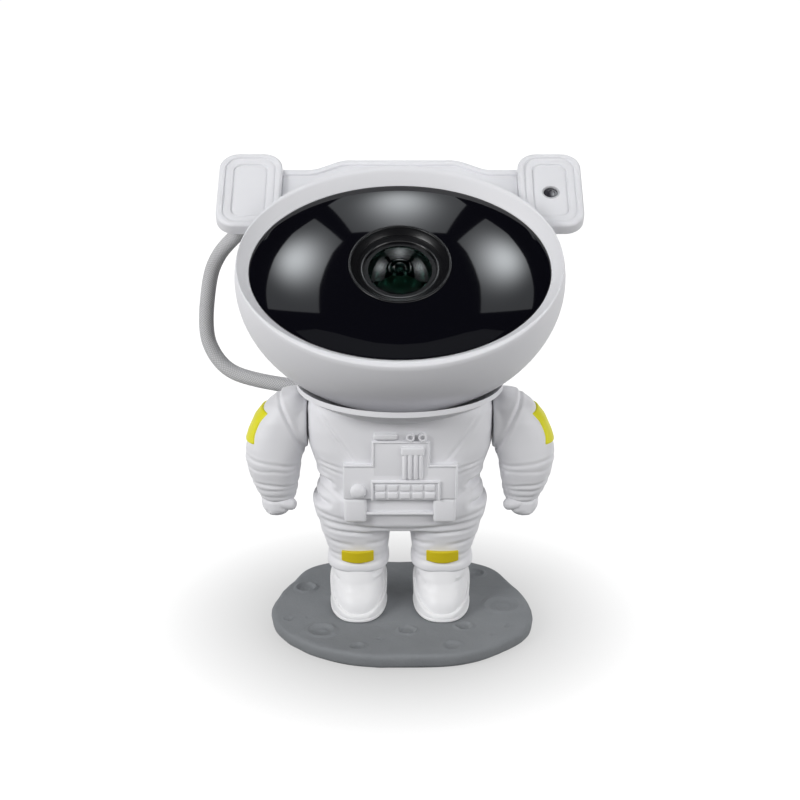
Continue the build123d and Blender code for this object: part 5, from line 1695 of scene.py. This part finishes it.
# ------------------------------------------------------------------ backpack
@dataclass
class Backpack:
    """Pack on the back with its push buttons and the inlet."""

    half_wide: float = 22.0
    low_z: float = 55.0
    top_z: float = 100.5
    back_y: float = 39.0
    front_y: float = 20.5
    wall: float = 2.0
    keys: tuple = (("power", 4.2), ("star", 3.2), ("nebula", 3.2))
    key_gap: float = 0.3

    def shell(self) -> bmesh.types.BMesh:
        """Rounded box with a shallow sunken panel, holes for the buttons, the inlet and the hose."""
        wide, wall, back = self.half_wide, self.wall, self.back_y
        shell = block(-wide, wide, self.front_y, back, self.low_z, self.top_z, 3.2, 5)
        cutters = [block(wall - wide, wide - wall, self.front_y - 4, back - wall,
                         self.low_z + wall, self.top_z - wall, 1.5, 3),
                   block(-17.5, 17.5, back - 0.45, back + 2, self.low_z + 4.5,
                         self.top_z - 4.5, 0.3, 2)]
        for name, radius in self.keys:
            x, _, z = Vector(JOINTS[f"{name}_button_press"]["pos_m"]) / MM
            cutters.append(pin((radius + self.key_gap, 14.0, CRISP, 56), (x, 45, z), pi / 2, "X"))
        cutters.append(block(-4.65, 4.65, back - 6, back + 3, 61.2, 64.8, 1.7, 5))
        cutters.append(pin((3.45, 9.0, CRISP, 48), (-25.0, 28.2, 92.4), pi / 2))
        cutters.append(head_dome(3.0))
        for cutter in cutters:
            shell = carved(shell, cutter)
        return shell

    def key(self, name: str, radius: float) -> None:
        """One push button with a shallow dish."""
        x, y, z = Vector(JOINTS[f"{name}_button_press"]["pos_m"]) / MM
        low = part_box(f"{name}_button")[0].y / MM - y
        top = 1.6
        outline = [(0.0, low), (1.5, low), (1.5, low + 0.4), (radius + 0.95, low + 0.45),
                   (radius + 0.95, low + 1.15), (radius, low + 1.25)]
        outline += arc(radius - 0.6, top - 0.6, 0.6, 0, 90, 5)
        outline += [(radius * 0.62, top - 0.1), (radius * 0.3, top - 0.28), (0.0, top - 0.32)]
        bm = placed(turned(outline, 64),
                    Matrix.Translation((x, y, z)) @ Matrix.Rotation(-pi / 2, 4, "X"))
        piece(f"{name}_key", bm, f"key_{name}", KEY, [f"{name}_button"])

    def build(self) -> None:
        """Shell and buttons."""
        piece("backpack", self.shell(), "stand", SHELL, ["backpack_shell"])
        for name, radius in self.keys:
            self.key(name, radius)


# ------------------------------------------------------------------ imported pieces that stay
def dress_packed_nodes() -> None:
    """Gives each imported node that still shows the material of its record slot."""
    finishes = {finish.slot: finish for finish in reversed(EVERY_FINISH)}
    for entry in frame["record"]["subparts"]:
        obj = frame["nodes"][entry["node"]]
        if obj.hide_render:
            continue
        obj.data.materials.clear()
        obj.data.materials.append(finishes[entry["material_slot"]].material())
        log.info("%s keeps its packed shape", entry["node"])


# ------------------------------------------------------------------ stage
@dataclass(frozen=True)
class SoftBox:
    """Glowing panel overhead.

    Args:
        name: its name.
        corners: (x, y) of its corners, in metres.
        power: strength of its glow where it is brightest.
        hot: (x, y) of that place.
        reach: how far the glow reaches along x and y.
        rest: share of the glow that is left far from there.
    """

    name: str
    corners: tuple
    power: float
    hot: tuple
    reach: tuple
    rest: float = 0.08

    def build(self) -> None:
        """A flat face that is brightest near its lamp."""
        bm = bmesh.new()
        bm.faces.new([bm.verts.new((x, y, BOX_Z)) for x, y in self.corners])
        obj = linked(self.name, stored(self.name, bm))
        mat, tree, _ = shaded(self.name)
        tree.nodes.clear()
        where = node(tree, "TexCoord", {}).outputs["Object"]
        apart = node(tree, "VectorMath", {0: where, 1: (*self.hot, BOX_Z)},
                     operation="SUBTRACT").outputs["Vector"]
        share = node(tree, "VectorMath", {0: apart, 1: (*self.reach, 1.0)},
                     operation="DIVIDE").outputs["Vector"]
        near = node(tree, "VectorMath", {0: share}, operation="LENGTH").outputs["Value"]
        squared = math_node(tree, "POWER", near, 2.0)
        fall = math_node(tree, "EXPONENT", math_node(tree, "MULTIPLY", squared, -1.0))
        level = math_node(tree, "MULTIPLY_ADD", fall, self.power * (1 - self.rest),
                          self.power * self.rest)
        glow = node(tree, "Emission", {"Color": BOX_COLOUR, "Strength": level})
        node(tree, "OutputMaterial", {"Surface": glow.outputs["Emission"]})
        obj.data.materials.append(mat)


def sheet(name: str, height: float, shade: float) -> tuple:
    """A wide level square of the stage with a matt grey material.

    Args:
        name: its name.
        height: how high it lies, in metres.
        shade: its grey.

    Returns:
        The object, its node tree and its shader.
    """
    bm = grid(1, 1, STAGE_HALF)
    bmesh.ops.translate(bm, vec=(0, 0, height), verts=bm.verts)
    obj = linked(name, stored(name, bm))
    mat, tree, shader = shaded(name)
    preset(shader, {"Base Color": (shade, shade, shade, 1.0), "Roughness": 1.0,
                    "Specular IOR Level": 0.0})
    obj.data.materials.append(mat)
    return obj, tree, shader


def dark_ceiling() -> None:
    """Unlit ceiling over the soft boxes, which leaves the visor black between them."""
    obj, _, _ = sheet("ceiling", CEILING_Z, 0.01)
    obj.visible_diffuse = False
    obj.visible_shadow = False


def seen_ray(tree: bpy.types.NodeTree) -> bpy.types.NodeSocket:
    """1 for rays that show the surroundings: from the camera, mirrored or through glass."""
    path = node(tree, "LightPath", {})
    direct = math_node(tree, "MAXIMUM", path.outputs["Is Camera Ray"],
                       path.outputs["Is Transmission Ray"])
    return math_node(tree, "MAXIMUM", direct, path.outputs["Is Glossy Ray"])


def studio_floor() -> None:
    """Pale floor that reads white where nothing shades it, away from the middle; round the middle its glow is
    dimmer, a painted shadow.
    """
    obj, tree, shader = sheet("floor", 0.0, FLOOR_SHADE)
    preset(shader, {"Emission Color": (1, 1, 1, 1)})
    where = node(tree, "TexCoord", {}).outputs["Object"]
    away = node(tree, "VectorMath", {0: where}, operation="LENGTH").outputs["Value"]
    # painted shadow: the glow that seen rays get falls from 1 far out to a lower level near the middle of the
    # floor, wherever the real shadow is
    rise = node(tree, "MapRange", {"Value": away, "From Min": PAINTED_SHADOW_INNER, "From Max": PAINTED_SHADOW_OUTER,
                                   "To Min": PAINTED_SHADOW_GLOW, "To Max": 1.0}).outputs["Result"]
    tree.links.new(math_node(tree, "MULTIPLY", seen_ray(tree), rise),
                   shader.inputs["Emission Strength"])


def studio_world() -> None:
    """White surroundings for the camera and a plain even light for the object."""
    world = bpy.data.worlds.new("studio")
    bpy.context.scene.world = world
    world.use_nodes = True
    tree = world.node_tree
    back = tree.nodes["Background"]
    preset(back, {"Color": (1, 1, 1, 1)})
    strength = math_node(tree, "MULTIPLY_ADD", seen_ray(tree), 1.0 - WORLD_LIGHT, WORLD_LIGHT)
    tree.links.new(strength, back.inputs["Strength"])


@dataclass(frozen=True)
class Lamp:
    """A square soft lamp.

    Args:
        name: its name.
        place: where it stands, in metres.
        aim_z: height of the point over the middle of the floor that it faces.
        size: its side.
        watts: its power.
        mirrored: whether glossy surfaces show it.
    """

    name: str
    place: tuple
    aim_z: float
    size: float
    watts: float
    mirrored: bool = True

    def build(self) -> None:
        """The lamp, turned to its aim."""
        data = bpy.data.lights.new(self.name, "AREA")
        data.size = self.size
        data.energy = self.watts
        obj = linked(self.name, data)
        aim(obj, self.place, (0.0, 0.0, self.aim_z))
        obj.visible_glossy = self.mirrored


def aim(obj: bpy.types.Object, place: tuple, target: tuple) -> None:
    """Puts a lamp or a camera at a place and turns it to a target."""
    obj.location = place
    obj.rotation_euler = (Vector(target) - Vector(place)).to_track_quat("-Z", "Y").to_euler()


def camera() -> None:
    """The camera, a little above the figure and square to its front."""
    data = bpy.data.cameras.new("camera")
    data.sensor_width = 36.0
    data.lens = FOCAL_PX / IMAGE_PX * data.sensor_width
    obj = linked("camera", data)
    aim(obj, CAMERA_AT, CAMERA_AIM)
    bpy.context.scene.camera = obj


IMAGE_PX = 800
FOCAL_PX = 1697.0
CAMERA_AT = (0.0, -0.654, 0.318)
CAMERA_AIM = (0.0, 0.0, 0.0963)
WORLD_LIGHT = 0.16
FLOOR_SHADE = 0.12
# painted shadow round the middle of the floor: the glow left there, and the distances in metres over which it
# fades
PAINTED_SHADOW_GLOW = 0.56
PAINTED_SHADOW_INNER = 0.05
PAINTED_SHADOW_OUTER = 0.115
STAGE_HALF = 6.0
CEILING_Z = 1.5
BOX_Z = CEILING_Z - 0.01
BOX_COLOUR = (0.93, 0.97, 1.0, 1.0)
LAMPS = (
    Lamp("key lamp", (-1.25, -1.2, 1.05), 0.1, 0.8, 21.0),
    Lamp("fill lamp", (1.2, -1.25, 0.85), 0.1, 1.0, 10.5),
    Lamp("left side lamp", (-1.5, -0.35, 0.4), 0.12, 0.9, 8.0, mirrored=False),
    Lamp("right side lamp", (1.5, -0.35, 0.4), 0.12, 0.9, 8.0, mirrored=False),
    Lamp("back lamp", (0.3, 1.5, 0.7), 0.12, 0.9, 8.0, mirrored=False),
)
SIDE_BOX = ((-0.254, 0.540), (-0.150, 0.312), (-0.176, 0.250), (-0.200, 0.160), (-0.221, 0.068),
            (-0.245, -0.110), (-0.506, -0.108), (-0.460, 0.052), (-0.388, 0.279), (-0.323, 0.439))
SIDE_STRIP = ((-0.490, 0.49), (-0.487, 0.65), (-0.428, 0.768), (-0.372, 0.88), (-0.352, 0.87),
              (-0.405, 0.75), (-0.455, 0.63), (-0.465, 0.50))
SOFT_BOXES = (
    SoftBox("top box", ((-0.225, 0.690), (-0.14, 1.02), (0.14, 1.02), (0.205, 0.680),
                        (0.120, 0.358), (-0.126, 0.364)), 7.0, (0.0, 0.62),
            (0.085, 0.19), 0.12),
    *(SoftBox(name, tuple((s * x, y) for x, y in SIDE_BOX), 10.5,
              (s * -0.295, 0.230), (0.08, 0.13))
      for name, s in (("left box", 1), ("right box", -1))),
    *(SoftBox(name, tuple((s * x, y) for x, y in SIDE_STRIP), 1.4,
              (s * -0.42, 0.70), (0.1, 0.2), 0.4)
      for name, s in (("left strip", 1), ("right strip", -1))),
    SoftBox("front band", ((-0.416, -0.310), (-0.29, -0.25), (-0.22, -0.270), (-0.160, -0.308),
                           (-0.085, -0.352), (0.0, -0.368), (0.085, -0.352), (0.160, -0.308),
                           (0.22, -0.270), (0.29, -0.25), (0.416, -0.310), (0.6, -0.8),
                           (-0.6, -0.8)), 0.2, (0.0, -0.45), (0.5, 0.5), 0.8),
)
HOSE_UPPER_ROUTE = (
    (-63.3, 32.6, 161.5), (-70.0, 38.5, 154.3), (-76.5, 43.2, 146.5), (-81.09, 45.73, 136.1),
    (-82.3, 44.3, 124.0),
)
HOSE_LOWER_ROUTE = (
    (-26.0, 28.2, 92.4), (-36.0, 28.2, 92.4), (-47.5, 28.8, 93.0), (-61.5, 32.6, 94.3),
    (-72.5, 36.5, 96.6), (-79.5, 40.0, 103.0), (-83.4, 43.0, 113.0), (-82.3, 44.3, 124.0),
)


def in_metres(route: Sequence[tuple]) -> tuple:
    """A route's points in metres."""
    return tuple(tuple(c * MM for c in point) for point in route)


def build_hoses() -> None:
    """Both halves of the hose, each along a route across one joint of the neck."""
    upper, lower = in_metres(HOSE_UPPER_ROUTE), in_metres(HOSE_LOWER_ROUTE)
    Hose("hose_upper_sleeve", "hose_upper", upper, "neck", "head", upper[-1], upper[0]).build()
    Hose("hose_lower_sleeve", "hose_lower", lower, "stand", "neck", lower[2], lower[-1]).build()


def studio() -> None:
    """Floor, surroundings, lamps, panels and camera."""
    camera()
    studio_world()
    studio_floor()
    dark_ceiling()
    for light in (*SOFT_BOXES, *LAMPS):
        light.build()


def main() -> None:
    """Builds the whole object, then the studio."""
    bpy.context.scene.view_settings.view_transform = "Standard"
    build_hoses()
    Helmet().build()
    Visor().build()
    LensGroup().build()
    for side in Side:
        Ear(side).build()
        Arm(side).build()
        Boot(side).build()
        KneePatch(side).build()
    CrownBar().build()
    build_collar()
    Torso().build()
    ChestPanel().build()
    MoonPlate().build()
    Backpack().build()
    dress_packed_nodes()
    studio()


if __name__ == "__main__":
    main()
